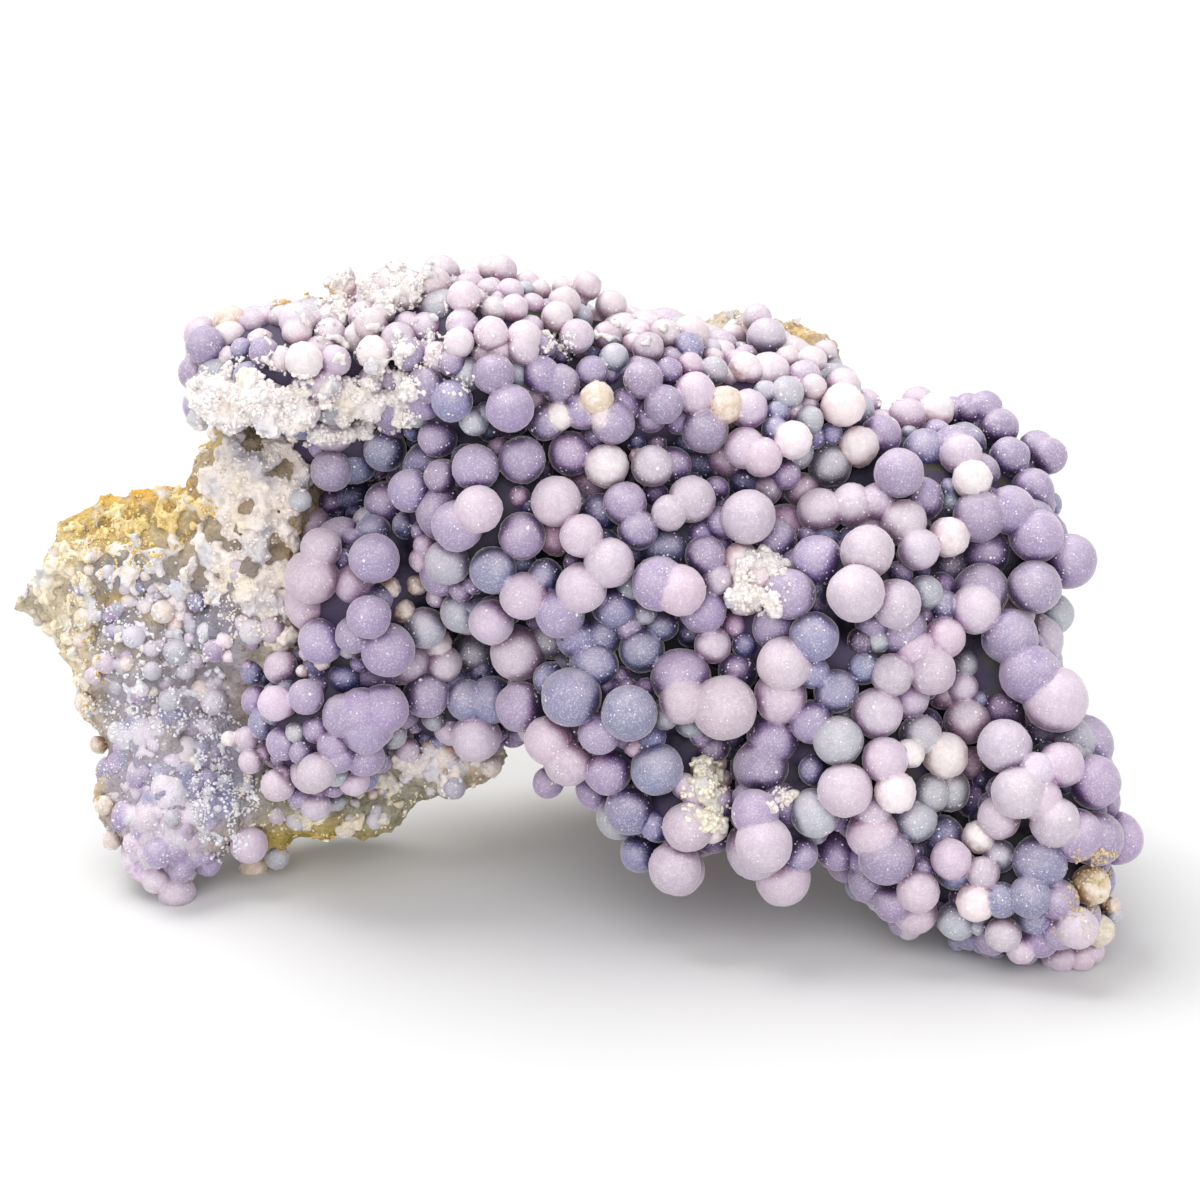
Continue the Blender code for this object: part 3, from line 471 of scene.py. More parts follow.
# Patches of small crystals, grains and crumbs: column, row, two radii, how many, their sizes in
# millimetres and their linear colour.
WHITE = (0.93, 0.87, 0.85)
CREAM = (0.90, 0.80, 0.60)
PALE = (0.94, 0.88, 0.74)
OCHRE = (0.70, 0.45, 0.12)
GOLD = (0.84, 0.65, 0.27)
TAN = (0.70, 0.56, 0.34)
FROST = (0.84, 0.82, 0.88)
ROSY = (0.90, 0.81, 0.75)
BLUE_GREY = (0.58, 0.59, 0.66)
CRUST_LUMPS = (
    (300, 412, 105, 26, 150, (0.9, 2.4), WHITE),
    (235, 388, 45, 24, 60, (0.9, 2.0), WHITE),
    (385, 395, 32, 34, 46, (0.8, 1.8), WHITE),
    (365, 288, 55, 24, 60, (0.8, 1.7), WHITE),
    (405, 272, 34, 22, 50, (0.8, 1.9), WHITE),
    (318, 312, 30, 18, 18, (0.6, 1.2), WHITE),
    (300, 330, 70, 40, 50, (0.4, 1.0), WHITE),
    (380, 330, 60, 40, 45, (0.4, 1.0), WHITE),
    (418, 340, 20, 22, 20, (0.5, 1.1), WHITE),
    (455, 300, 30, 24, 20, (0.4, 0.9), WHITE),
    (557, 340, 12, 20, 12, (0.4, 0.9), WHITE),
    (738, 572, 12, 14, 16, (0.7, 1.5), WHITE),
    (758, 556, 20, 9, 18, (0.6, 1.4), WHITE),
    (778, 570, 13, 14, 18, (0.7, 1.5), WHITE),
    (745, 600, 16, 10, 16, (0.7, 1.5), WHITE),
    (770, 603, 16, 12, 18, (0.7, 1.5), WHITE),
    (704, 775, 17, 14, 22, (1.0, 2.0), PALE),
    (706, 800, 17, 14, 20, (1.0, 2.0), PALE),
    (712, 822, 13, 10, 14, (0.8, 1.7), PALE),
    (783, 800, 14, 12, 14, (0.6, 1.3), WHITE),
    (893, 402, 12, 7, 8, (0.5, 1.0), WHITE),
    (1088, 884, 16, 24, 14, (0.3, 0.8), TAN),
    (1095, 855, 20, 6, 8, (0.3, 0.7), TAN),
    (640, 330, 50, 16, 30, (0.4, 1.0), WHITE),
)
AGATE_CRUSTS = (
    (300, 410, 115, 36, 1500, (0.20, 0.60), WHITE),
    (240, 385, 50, 30, 400, (0.20, 0.55), WHITE),
    (385, 400, 40, 35, 350, (0.20, 0.55), WHITE),
    (370, 285, 60, 32, 600, (0.20, 0.55), WHITE),
    (420, 345, 28, 24, 160, (0.18, 0.5), WHITE),
    (557, 343, 20, 24, 90, (0.18, 0.45), WHITE),
    (457, 380, 20, 16, 70, (0.18, 0.45), WHITE),
    (757, 582, 34, 34, 400, (0.20, 0.6), WHITE),
    (706, 795, 26, 38, 350, (0.20, 0.6), PALE),
    (783, 800, 16, 14, 80, (0.2, 0.5), WHITE),
    (890, 403, 14, 9, 60, (0.2, 0.5), WHITE),
    (1095, 855, 24, 8, 110, (0.12, 0.35), TAN),
    (1088, 884, 26, 32, 320, (0.12, 0.35), TAN),
    (1075, 925, 26, 16, 60, (0.12, 0.3), TAN),
    (270, 298, 22, 8, 60, (0.2, 0.5), OCHRE),
    (320, 292, 16, 8, 50, (0.2, 0.5), OCHRE),
    (410, 320, 110, 60, 260, (0.12, 0.3), WHITE),
)
ROCK_CRUSTS = (
    (250, 480, 60, 50, 450, (0.15, 0.45), ROSY),
    (250, 580, 50, 60, 450, (0.15, 0.45), ROSY),
    (150, 620, 90, 60, 900, (0.14, 0.40), FROST),
    (120, 515, 100, 40, 450, (0.14, 0.36), OCHRE),
    (100, 530, 90, 45, 700, (0.14, 0.40), GOLD),
    (225, 790, 34, 75, 900, (0.16, 0.46), FROST),
    (160, 715, 75, 30, 600, (0.14, 0.42), FROST),
    (150, 790, 60, 80, 450, (0.12, 0.30), FROST),
    (75, 690, 26, 150, 450, (0.15, 0.5), CREAM),
    (85, 730, 22, 120, 120, (0.15, 0.5), OCHRE),
    (330, 800, 100, 45, 450, (0.15, 0.45), CREAM),
    (450, 770, 80, 30, 300, (0.15, 0.45), FROST),
    (325, 848, 48, 12, 180, (0.15, 0.45), OCHRE),
    (735, 325, 120, 26, 400, (0.20, 0.6), WHITE),
)
ROCK_LUMPS = (
    (262, 470, 52, 50, 150, (0.8, 2.0), ROSY),
    (255, 560, 42, 60, 130, (0.8, 1.9), ROSY),
    (285, 625, 26, 40, 50, (0.7, 1.6), ROSY),
    (215, 555, 30, 40, 50, (0.5, 1.3), ROSY),
    (130, 510, 90, 28, 130, (0.5, 1.3), GOLD),
    (60, 570, 40, 30, 110, (0.6, 1.5), CREAM),
    (38, 598, 16, 26, 40, (0.5, 1.2), CREAM),
    (72, 640, 24, 60, 80, (0.6, 1.5), CREAM),
    (110, 560, 60, 26, 70, (0.6, 1.4), ROSY),
    (218, 480, 24, 50, 60, (0.7, 1.6), ROSY),
    (190, 570, 46, 34, 90, (0.6, 1.5), ROSY),
    (85, 720, 16, 60, 40, (0.5, 1.2), CREAM),
    (160, 610, 70, 40, 130, (0.4, 1.1), FROST),
    (150, 680, 80, 34, 110, (0.4, 1.1), FROST),
    (222, 780, 30, 75, 150, (0.4, 1.0), FROST),
    (190, 850, 40, 30, 40, (0.4, 0.9), FROST),
    (440, 768, 70, 26, 70, (0.8, 1.8), ROSY),
    (345, 800, 60, 30, 60, (0.7, 1.6), CREAM),
    (500, 752, 30, 14, 20, (0.7, 1.6), CREAM),
    (720, 318, 110, 22, 70, (0.6, 1.6), WHITE),
)

# The floor, the sky and the lights: name, where from, strength and softness in degrees.
FLOOR_SIZE = 60
FLOOR_COLOUR = (0.69, 0.69, 0.69, 1)
FLOOR_ROUGHNESS = 0.7
SKY_COLOUR = (1, 0.99, 0.98, 1)
SKY_STRENGTH = 0.47
LIGHTS = (("window", (-0.30, 0.24, 0.80), 1.65, 36), ("room", (0.0, -0.8, 0.65), 1.05, 70))
EXPOSURE = 0.47


def sight(column, row):
    """The direction of the line of sight through a point of the front view."""
    line = AHEAD * FOCAL + RIGHT * (column - MIDDLE) + UPWARD * (MIDDLE - row)
    return line.normalized()


def seen_at(points):
    """Columns and rows of points in the front view."""
    lines = points - np.array(EYE)
    depth = lines @ np.array(AHEAD)
    columns = MIDDLE + FOCAL * lines @ np.array(RIGHT) / depth
    return columns, MIDDLE - FOCAL * lines @ np.array(UPWARD) / depth


def on_sight(column, row, depth):
    """The point of a line of sight whose y is depth."""
    line = sight(column, row)
    return EYE + line * ((depth - EYE.y) / line.y)


def real_size(pixels, point):
    """The size in metres of a length seen in the front view at a point's distance."""
    return pixels * (point - EYE).dot(AHEAD) / FOCAL


def new_object(name, mesh):
    """An object that holds a mesh."""
    made = bpy.data.objects.new(name, mesh)
    bpy.context.scene.collection.objects.link(made)
    return made


def discard(helper):
    bpy.data.objects.remove(helper)


def settle(target):
    """Applies the modifiers of an object."""
    graph = bpy.context.evaluated_depsgraph_get()
    mesh = bpy.data.meshes.new_from_object(target.evaluated_get(graph))
    target.modifiers.clear()
    target.data = mesh


@functools.cache
def unit_sphere(steps):
    """Corners and triangles of an icosphere of radius 1."""
    shape = bmesh.new()
    bmesh.ops.create_icosphere(shape, subdivisions=steps, radius=1)
    corners = np.array([vertex.co for vertex in shape.verts])
    faces = np.array([[vertex.index for vertex in face.verts] for face in shape.faces])
    shape.free()
    return corners, faces


def from_copies(name, points, faces):
    """A mesh object of copies of one set of faces, from each copy's points."""
    rings = [faces + i * len(points[0]) for i in range(len(points))]
    mesh = bpy.data.meshes.new(name)
    mesh.from_pydata(np.concatenate(points), [], np.concatenate(rings))
    return new_object(name, mesh)


def spheres(name, balls, steps=3):
    """One mesh object of separate icospheres, from middles and radii. A radius may be a vector."""
    corners, faces = unit_sphere(steps)
    return from_copies(name, [np.array(m) + corners * np.array(r) for m, r in balls], faces)


def join(target, other):
    """Moves the faces of one object into another."""
    shape = bmesh.new()
    shape.from_mesh(target.data)
    shape.from_mesh(other.data)
    shape.to_mesh(target.data)
    shape.free()
    discard(other)


def melt(target, voxel):
    """Joins the overlapping shapes of an object in one skin."""
    joined = target.modifiers.new("Join", "REMESH")
    joined.mode = "VOXEL"
    joined.voxel_size = voxel
    settle(target)


def combine(target, other, operation, solver="EXACT"):
    """Applies a Boolean with another object, which is then removed."""
    boolean = target.modifiers.new(operation.title(), "BOOLEAN")
    boolean.operation = operation
    boolean.solver = solver
    if solver == "EXACT":
        boolean.use_self = True
    boolean.object = other
    settle(target)
    discard(other)


def tree_of(*targets):
    """A search tree of the surface of one or more objects."""
    shape = bmesh.new()
    for target in targets:
        shape.from_mesh(target.data)
    tree = BVHTree.FromBMesh(shape)
    shape.free()
    return tree


def reach_to(surface, line):
    """How far along a line of sight it meets a surface, or comes nearest to one that it misses."""
    reach = surface.ray_cast(EYE, line)[3]
    if reach is not None:
        return reach
    reaches = np.arange(EYE_DISTANCE - 80 * MM, EYE_DISTANCE + 80 * MM, MM)
    gaps = [surface.find_nearest(EYE + line * reach)[3] for reach in reaches]
    return reaches[int(np.argmin(gaps))]


def is_inside(surface, point):
    nearest, normal, _, _ = surface.find_nearest(point)
    return (point - nearest).dot(normal) < 0


def lumps(name, masses, pits, voxel):
    """The body that a list of masses makes, with its pits."""
    sized = [
        (on_sight(column, row, depth * MM), Vector(radii) * MM)
        for column, row, depth, radii in masses
    ]
    body = spheres(name, sized)
    melt(body, voxel)
    surface = tree_of(body)
    holes = []
    for column, row, radius, depth in pits:
        line = sight(column, row)
        mouth = EYE + line * reach_to(surface, line)
        wide = real_size(radius, mouth)
        holes.append((mouth, Vector((wide, wide * depth, wide))))
    combine(body, spheres("pits", holes), "DIFFERENCE")
    melt(body, voxel)
    return body


def block(name):
    """A big block that stands on the origin."""
    shape = bmesh.new()
    bmesh.ops.create_cube(shape, size=BLOCK, matrix=Matrix.Translation((0, 0, BLOCK / 2)))
    mesh = bpy.data.meshes.new(name)
    shape.to_mesh(mesh)
    shape.free()
    return new_object(name, mesh)


def break_off(target, point, side):
    """Takes away what lies on one side of a plane."""
    gone = block("beyond the break")
    turn = Vector((0, 0, 1)).rotation_difference(Vector(side)).to_matrix().to_4x4()
    gone.matrix_world = Matrix.Translation(Vector(point) * MM) @ turn
    combine(target, gone, "DIFFERENCE")


def roughen(target, layers):
    """Gives a mesh the uneven skin of broken rock."""
    mesh = target.data
    for vertex, normal in [(v, Vector(v.normal)) for v in mesh.vertices]:
        vertex.co += normal * sum(depth * noise.noise(vertex.co / size) for size, depth in layers)


def crumble(target, layers):
    """Covers a mesh with rounded crumbs, and stores how deep each corner lies between them, which
    the materials darken as painted shade.
    """
    mesh = target.data
    normals = corner_normals(mesh)
    points = corner_points(mesh)
    depths = np.zeros(len(points))
    for size, high in layers:
        depths += [high * noise.voronoi(Vector(p) / size)[0][0] for p in points]
    mesh.vertices.foreach_set("co", (points - normals * depths[:, None]).ravel())
    store_value(mesh, "cavity", np.clip(depths / sum(high for _, high in layers), 0, 1))


def grown_balls(listed, surface):
    """Middle, radius and tint of each ball listed on the front view, grown on a surface."""
    balls = []
    for column, row, pixels, level, tint in listed:
        line = sight(column, row)
        reach = reach_to(surface, line)
        radius = real_size(pixels, EYE + line * reach)
        middle = EYE + line * (reach - stand_out(surface, line, reach, radius, LIFT[level]))
        balls.append((middle, radius, tint))
        balls.extend(stalk(middle, radius, tint, surface))
    return balls


def stand_out(surface, line, reach, radius, lift):
    """How far a ball's middle lies in front of where its line of sight meets the surface.

    Where the line only grazes the surface, that is farther than the ball stands clear of it.
    """
    forward = lift * radius
    while 0 < forward < MOST_FORWARD * radius:
        gap = surface.find_nearest(EYE + line * (reach - forward))[3]
        if gap > max(lift, LEAST_CLEAR) * radius:
            break
        forward += FORWARD_STEP * radius
    return forward


def stalk(middle, radius, tint, surface):
    """Smaller balls that join a ball that stands clear of its body to it."""
    root, _, _, gap = surface.find_nearest(middle)
    if gap < STALK_FROM * radius or is_inside(surface, middle):
        return []
    count = 1 + int(gap / radius)
    shares = [(i + 1) / (count + 1) for i in range(count)]
    return [(middle.lerp(root, share), STALK_SHARE * radius, tint) for share in shares]


def surface_points(target, count, chance):
    """Points spread at random over a mesh, with their normals."""
    mesh = target.data
    mesh.calc_loop_triangles()
    areas = np.array([triangle.area for triangle in mesh.loop_triangles])
    picks = chance.choice(len(areas), size=count, p=areas / areas.sum())
    for pick in picks:
        triangle = mesh.loop_triangles[int(pick)]
        corners = [mesh.vertices[i].co for i in triangle.vertices]
        shares = chance.dirichlet((1, 1, 1))
        yield sum((c * s for c, s in zip(corners, shares)), Vector()), Vector(triangle.normal)


def next_tint(middle, usual, number):
    """The tint of a numbered random ball: one of the usual ones in turn, or of the bleached."""
    tints = BLEACHED_TINTS if bleached(middle) else usual
    return tints[number % len(tints)]


def filler_balls(body, listed, rock_surface):
    """Balls that cover what the listed ones leave bare, on every side of the body."""
    chance = np.random.default_rng(SEED)
    kept = [(middle, radius) for middle, radius, _ in listed]
    fillers = []
    for point, normal in surface_points(body, FILLER_TRIES, chance):
        radius = chance.uniform(*FILLER_RADII) * MM
        near_rock = rock_surface.find_nearest(point)[3] < ROCK_CLEARANCE
        if near_rock or is_inside(rock_surface, point) or in_a_pit(point):
            continue
        if any((point - m).length < FILLER_SPACING * (r + radius) for m, r in kept):
            continue
        sunk = chance.uniform(*FILLER_SUNK)
        middle = point - normal * sunk * radius
        kept.append((middle, radius))
        fillers.append((middle, radius, next_tint(middle, FILLER_TINTS, len(fillers))))
    return fillers


def gap_balls(body, others, chance):
    """Smaller balls deep in the gaps that the others leave."""
    middles = np.array([tuple(m) for m, _, _ in others])
    radii = np.array([r for _, r, _ in others])
    gaps = []
    for point, normal in surface_points(body, GAP_TRIES, chance):
        behind = normal.dot(AHEAD) > FACES_AWAY
        radius = chance.uniform(*GAP_RADII) * (GAP_LARGER if behind else 1) * MM
        if in_a_pit(point):
            continue
        away = np.linalg.norm(middles - np.array(point), axis=1)
        if (away < GAP_SPACING * radii + 0.4 * radius).any():
            continue
        middle = point - normal * chance.uniform(*GAP_SUNK) * radius
        middles = np.vstack([middles, tuple(middle)])
        radii = np.append(radii, radius)
        gaps.append((middle, radius, next_tint(middle, GAP_TINTS, len(gaps))))
    return gaps


def spot_in(column, row, wide, high, surface, chance):
    """A random line of sight within an oval of the front view, and where it meets a surface."""
    turn = chance.uniform(0, 2 * math.pi)
    out = math.sqrt(chance.uniform(0, 1))
    line = sight(column + wide * out * math.cos(turn), row + high * out * math.sin(turn))
    return line, surface.ray_cast(EYE, line)[0]


def scattered_balls(patches, surface, chance):
    """Small balls at random within patches of the front view, sunk in what shows there."""
    balls = []
    for *oval, count, sizes, sunk, tints in patches:
        for number in range(count):
            line, point = spot_in(*oval, surface, chance)
            radius = chance.uniform(*sizes) * MM
            if point is not None:
                balls.append((point + line * sunk * radius, radius, tints[number % len(tints)]))
    return balls


def bleached(point):
    """Whether a place lies where the front view shows the balls bleached."""
    (column,), (row,) = seen_at(np.array([point]))
    return any(abs(column - c) < wide and abs(row - r) < high for c, r, wide, high in BLEACHED)


def in_a_pit(point):
    """Whether a place lies within a pit of the agate in the front view."""
    (column,), (row,) = seen_at(np.array([point]))
    return any(math.hypot(column - c, row - r) < PIT_RIM * size for c, r, size, _ in AGATE_PITS)


def apart(balls):
    """Sorts balls into groups whose members don't touch."""
    groups = []
    for ball in sorted(balls, key=lambda b: -b[1]):
        for group in groups:
            if all((ball[0] - m).length > CLEAR_OF * (ball[1] + r) for m, r, _ in group):
                group.append(ball)
                break
        else:
            groups.append([ball])
    return groups


def grown_together(name, balls, fine, chance):
    """Balls joined in one solid with sharp creases. Each is a little out of round.

    In a fine piece the larger and the crusted ones have finer faces, and in others the least have
    coarser ones.
    """
    solid = None
    for group in apart(balls):
        layers = {}
        for middle, radius, tint in group:
            steps = 4 if fine and (radius > FINE_FROM or CRUSTED.get(tint, 0) > 0.5) else 3
            steps = 2 if radius < COARSE_UNDER and not fine else steps
            corners = unit_sphere(steps)[0]
            offset = Vector(chance.uniform(-50, 50, 3))
            bumps = np.array([noise.noise(Vector(c) * BUMPS_PER_RADIUS + offset) for c in corners])
            points = np.array(middle) + corners * radius * (1 + OUT_OF_ROUND * bumps)[:, None]
            layers.setdefault(steps, []).append(points)
        parts = [
            from_copies(name, points, unit_sphere(steps)[1]) for steps, points in layers.items()
        ]
        for part in parts[1:]:
            join(parts[0], part)
        if solid is None:
            solid = parts[0]
        else:
            combine(solid, parts[0], "UNION", "MANIFOLD")
    return solid


def corner_points(mesh):
    points = np.empty(len(mesh.vertices) * 3)
    mesh.vertices.foreach_get("co", points)
    return points.reshape(-1, 3)


def corner_normals(mesh):
    normals = np.empty(len(mesh.vertices) * 3)
    mesh.vertices.foreach_get("normal", normals)
    return normals.reshape(-1, 3)


def store_colour(mesh, name, values, domain):
    """Keeps a colour for each face or corner of a mesh."""
    layer = mesh.attributes.new(name, "FLOAT_COLOR", domain)
    layer.data.foreach_set("color", np.column_stack([values, np.ones(len(values))]).ravel())


def store_value(mesh, name, values):
    layer = mesh.attributes.new(name, "FLOAT", "POINT")
    layer.data.foreach_set("value", values)


def tint_by_ball(target, balls, chance):
    """Gives each corner the tint of the ball whose skin it lies on, and how crusted it is."""
    points = corner_points(target.data)
    total = np.zeros(len(points))
    colours = np.zeros((len(points), 3))
    crusted = np.zeros(len(points))
    for middle, radius, tint in balls:
        off = np.linalg.norm(points - np.array(middle), axis=1) - radius
        weight = 1 / (off**2 + TINT_EDGE**2) ** 2
        shade = chance.uniform(*BALL_SHADES) * chance.uniform(*BALL_HUES, 3)
        total += weight
        colours += weight[:, None] * np.array(TINTS[tint]) * shade
        crusted += weight * CRUSTED.get(tint, 0)
    crusted /= total
    store_colour(target.data, "tint", colours / total[:, None], "POINT")
    store_value(target.data, "crusted", crusted)
    drusy(target, crusted)


def drusy(target, crusted):
    """Raises the fine crystal skin of the balls: slight on clean ones, coarse on crusted ones."""
    points = corner_points(target.data)
    normals = corner_normals(target.data)
    fine = np.array([noise.noise(Vector(p) / DRUSE_SIZE) for p in points])
    coarse = np.array([noise.noise(Vector(p) / CRUST_SIZE) for p in points])
    high = DRUSE_HIGH * fine + CRUST_HIGH * crusted * np.abs(coarse)
    target.data.vertices.foreach_set("co", (points + normals * high[:, None]).ravel())
    target.data.update()


def filled_grid(balls, bodies):
    """A grid over the specimen of how much of each place's surroundings is filled."""
    points = np.concatenate([corner_points(body.data) for body in bodies])
    inward = np.concatenate([corner_normals(body.data) for body in bodies])
    low = points.min(axis=0) - GRID_MARGIN
    grid = np.zeros(np.ceil((points.max(axis=0) + GRID_MARGIN - low) / GRID_STEP).astype(int))
    for depth in FILL_DEPTHS:
        grid[tuple(((points - inward * depth - low) / GRID_STEP).astype(int).T)] = 1
    for middle, radius, _ in balls:
        first = np.floor((np.array(middle) - radius - low) / GRID_STEP).astype(int)
        last = np.ceil((np.array(middle) + radius - low) / GRID_STEP).astype(int) + 1
        cells = np.moveaxis(np.indices(last - first), 0, -1) + first
        away = np.linalg.norm((cells + 0.5) * GRID_STEP + low - np.array(middle), axis=-1)
        grid[tuple(slice(f, l) for f, l in zip(first, last))][away < radius] = 1
    spread = LOOK_ROUND / GRID_STEP
    pace = [np.fft.fftfreq(n) for n in grid.shape[:2]] + [np.fft.rfftfreq(grid.shape[2])]
    squares = sum(f**2 for f in np.meshgrid(*pace, indexing="ij"))
    softening = np.exp(-2 * math.pi**2 * spread**2 * squares)
    return np.fft.irfftn(np.fft.rfftn(grid) * softening, grid.shape), low


def enclosed(target, filled):
    """Stores how much is filled in front of each corner: little on tops, much in crevices. The
    materials darken by it as painted shade.
    """
    grid, low = filled
    in_front = corner_points(target.data) + corner_normals(target.data) * LOOK_ROUND
    places = (in_front - low) / GRID_STEP - 0.5
    cells = np.floor(places).astype(int)
    shares = places - cells
    depth = np.zeros(len(places))
    for step in np.ndindex(2, 2, 2):
        weight = np.prod(np.where(step, shares, 1 - shares), axis=1)
        depth += weight * grid[tuple((cells + step).T)]
    store_value(target.data, "depth", depth)


def frosted_and_lit(target):
    """Stores how much white frosting lies on each corner: most on what faces up and to the front.
    That is where the light falls, so it is partly a painted highlight.
    """
    normals = corner_normals(target.data)
    up = normals @ np.array(Vector((-0.15, -0.35, 0.92)).normalized())
    store_value(target.data, "lit_frost", np.clip(0.5 + 0.5 * up, 0, 1))


def above_ground(balls):
    """The balls that stand on the ground or above it."""
    return [ball for ball in balls if ball[0].z > LEAST_ABOVE * ball[1]]


def flattened_below(mesh):
    """Lifts what would reach below the ground to the ground."""
    points = corner_points(mesh)
    points[:, 2] = np.maximum(points[:, 2], 0)
    mesh.vertices.foreach_set("co", points.ravel())
    mesh.update()


def finished(target, material, node):
    """Puts a piece in place with its material, hangs it under the root body and hides the model's
    part that it stands for.
    """
    flattened_below(target.data)
    target.data.transform(Matrix.Translation(TO_CENTRE))
    target.data.materials.clear()
    target.data.materials.append(material)
    target.data.shade_smooth()
    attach(target, "root")
    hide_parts(node)


def grains(name, spots, chance):
    """Small angular grains, each at a point with a size and a colour."""
    corners, faces = unit_sphere(1)
    points = []
    colours = []
    for point, size, colour in spots:
        shape = corners * chance.uniform(0.6, 1.25, (len(corners), 1)) * chance.uniform(0.7, 1.2, 3)
        points.append(np.array(point) + shape * size)
        colours.append(np.array(colour) * chance.uniform(0.85, 1.1))
    made = from_copies(name, points, faces)
    store_colour(made.data, "tint", np.repeat(colours, len(faces), axis=0), "FACE")
    return made


def crust_body(name, patches, surface, chance):
    """Lumps of crystal crust that melt into one another over patches of the front view."""
    spots = crust_spots(patches, surface, chance)
    body = spheres(name, [(point, Vector((size, size, size))) for point, size, _ in spots])
    melt(body, CRUST_VOXEL)
    roughen(body, CRUST_ROUGHNESS)
    crumble(body, CRUST_CRUMBS)
    centres = np.array([tuple(point) for point, _, _ in spots])
    shades = np.array([colour for _, _, colour in spots])
    points = corner_points(body.data)
    nearest = [int(np.argmin(((centres - p) ** 2).sum(axis=1))) for p in points]
    shade = np.array([0.95 + 0.2 * noise.noise(Vector(p) / (2.5 * MM)) for p in points])
    cloud = np.array([noise.noise(Vector(p) / (5 * MM)) for p in points])
    grey = np.clip(cloud * 2.4 - 0.25, 0, 0.7)[:, None]
    warm = np.clip(-cloud * 2.4 - 0.35, 0, 0.6)[:, None]
    colours = shades[nearest] * shade[:, None]
    colours = colours * (1 - grey) + np.array(BLUE_GREY) * grey
    colours = colours * (1 - warm) + np.array(CREAM) * warm
    store_colour(body.data, "tint", colours, "POINT")
    return body


def crust_spots(patches, surface, chance):
    """Grain places within patches of the front view, on what shows there."""
    spots = []
    for *oval, count, sizes, colour in patches:
        for _ in range(count):
            _, point = spot_in(*oval, surface, chance)
            if point is None or noise.noise(point / BARE_PLACES) < BARE_UNDER:
                continue
            size = sizes[0] + (sizes[1] - sizes[0]) * chance.uniform(0, 1) ** 2
            spots.append((point, size * MM, colour))
    return spots


def node_of(tree, kind, **values):
    """A shader node with the given settings or socket values."""
    made = tree.nodes.new(kind)
    for key, value in values.items():
        if key in made.inputs:
            made.inputs[key].default_value = value
        else:
            setattr(made, key, value)
    return made


def new_material(name):
    material = bpy.data.materials.new(name)
    material.use_nodes = True
    return material, material.node_tree, material.node_tree.nodes["Principled BSDF"]


def mixed(tree, factor, first, second):
    """A colour mix of two sockets or colours."""
    mix = tree.nodes.new("ShaderNodeMix")
    mix.data_type = "RGBA"
    for socket, value in ((mix.inputs[0], factor), (mix.inputs[6], first), (mix.inputs[7], second)):
        if isinstance(value, bpy.types.NodeSocket):
            tree.links.new(value, socket)
        elif isinstance(value, tuple):
            socket.default_value = (*value, 1)
        else:
            socket.default_value = value
    return mix.outputs[2]


def ramped(tree, socket, low, high, top=1.0):
    """A socket's value stretched from low..high to 0..top and held there."""
    ramp = tree.nodes.new("ShaderNodeMapRange")
    ramp.interpolation_type = "SMOOTHSTEP"
    ramp.inputs["From Min"].default_value = low
    ramp.inputs["From Max"].default_value = high
    ramp.inputs["To Max"].default_value = top
    tree.links.new(socket, ramp.inputs["Value"])
    return ramp.outputs["Result"]


def noise_at(tree, size, detail=2.0, roughness=0.5):
    """Noise whose features are about a size in metres across."""
    place = tree.nodes.new("ShaderNodeTexCoord")
    field = node_of(tree, "ShaderNodeTexNoise", Scale=1 / size, Detail=detail, Roughness=roughness)
    tree.links.new(place.outputs["Object"], field.inputs["Vector"])
    return field.outputs["Fac"]


def attribute(tree, name, output):
    made = tree.nodes.new("ShaderNodeAttribute")
    made.attribute_name = name
    return made.outputs[output]


def times(tree, first, second):
    product = node_of(tree, "ShaderNodeMath", operation="MULTIPLY")
    for socket, value in zip(product.inputs, (first, second)):
        if isinstance(value, bpy.types.NodeSocket):
            tree.links.new(value, socket)
        else:
            socket.default_value = value
    return product.outputs[0]


def bumped(tree, shader, height, strength, distance):
    bump = node_of(tree, "ShaderNodeBump", Strength=strength, Distance=distance)
    tree.links.new(height, bump.inputs["Height"])
    tree.links.new(bump.outputs["Normal"], shader.inputs["Normal"])


def sparkles(tree, size, radius, share):
    """White specks of a radius: one to a cell of a size in metres, in a share of the cells."""
    place = tree.nodes.new("ShaderNodeTexCoord")
    cells = node_of(tree, "ShaderNodeTexVoronoi", Scale=1 / size, Randomness=1.0)
    tree.links.new(place.outputs["Object"], cells.inputs["Vector"])
    dot = ramped(tree, cells.outputs["Distance"], radius / size, 0.6 * radius / size)
    pick = tree.nodes.new("ShaderNodeSeparateColor")
    tree.links.new(cells.outputs["Color"], pick.inputs["Color"])
    return times(tree, dot, ramped(tree, pick.outputs["Red"], 1 - share, 1.02 - share))


def shaded_in_crevices(tree, colour, low, high, most):
    """A colour that grows darker and richer where a place is enclosed: painted shade in crevices.
    """
    deep = ramped(tree, attribute(tree, "depth", "Fac"), low, high, most)
    power = node_of(tree, "ShaderNodeMath", operation="ADD")
    power.inputs[1].default_value = 1.0
    tree.links.new(deep, power.inputs[0])
    made = tree.nodes.new("ShaderNodeGamma")
    tree.links.new(colour, made.inputs["Color"])
    tree.links.new(power.outputs[0], made.inputs["Gamma"])
    return made.outputs["Color"]


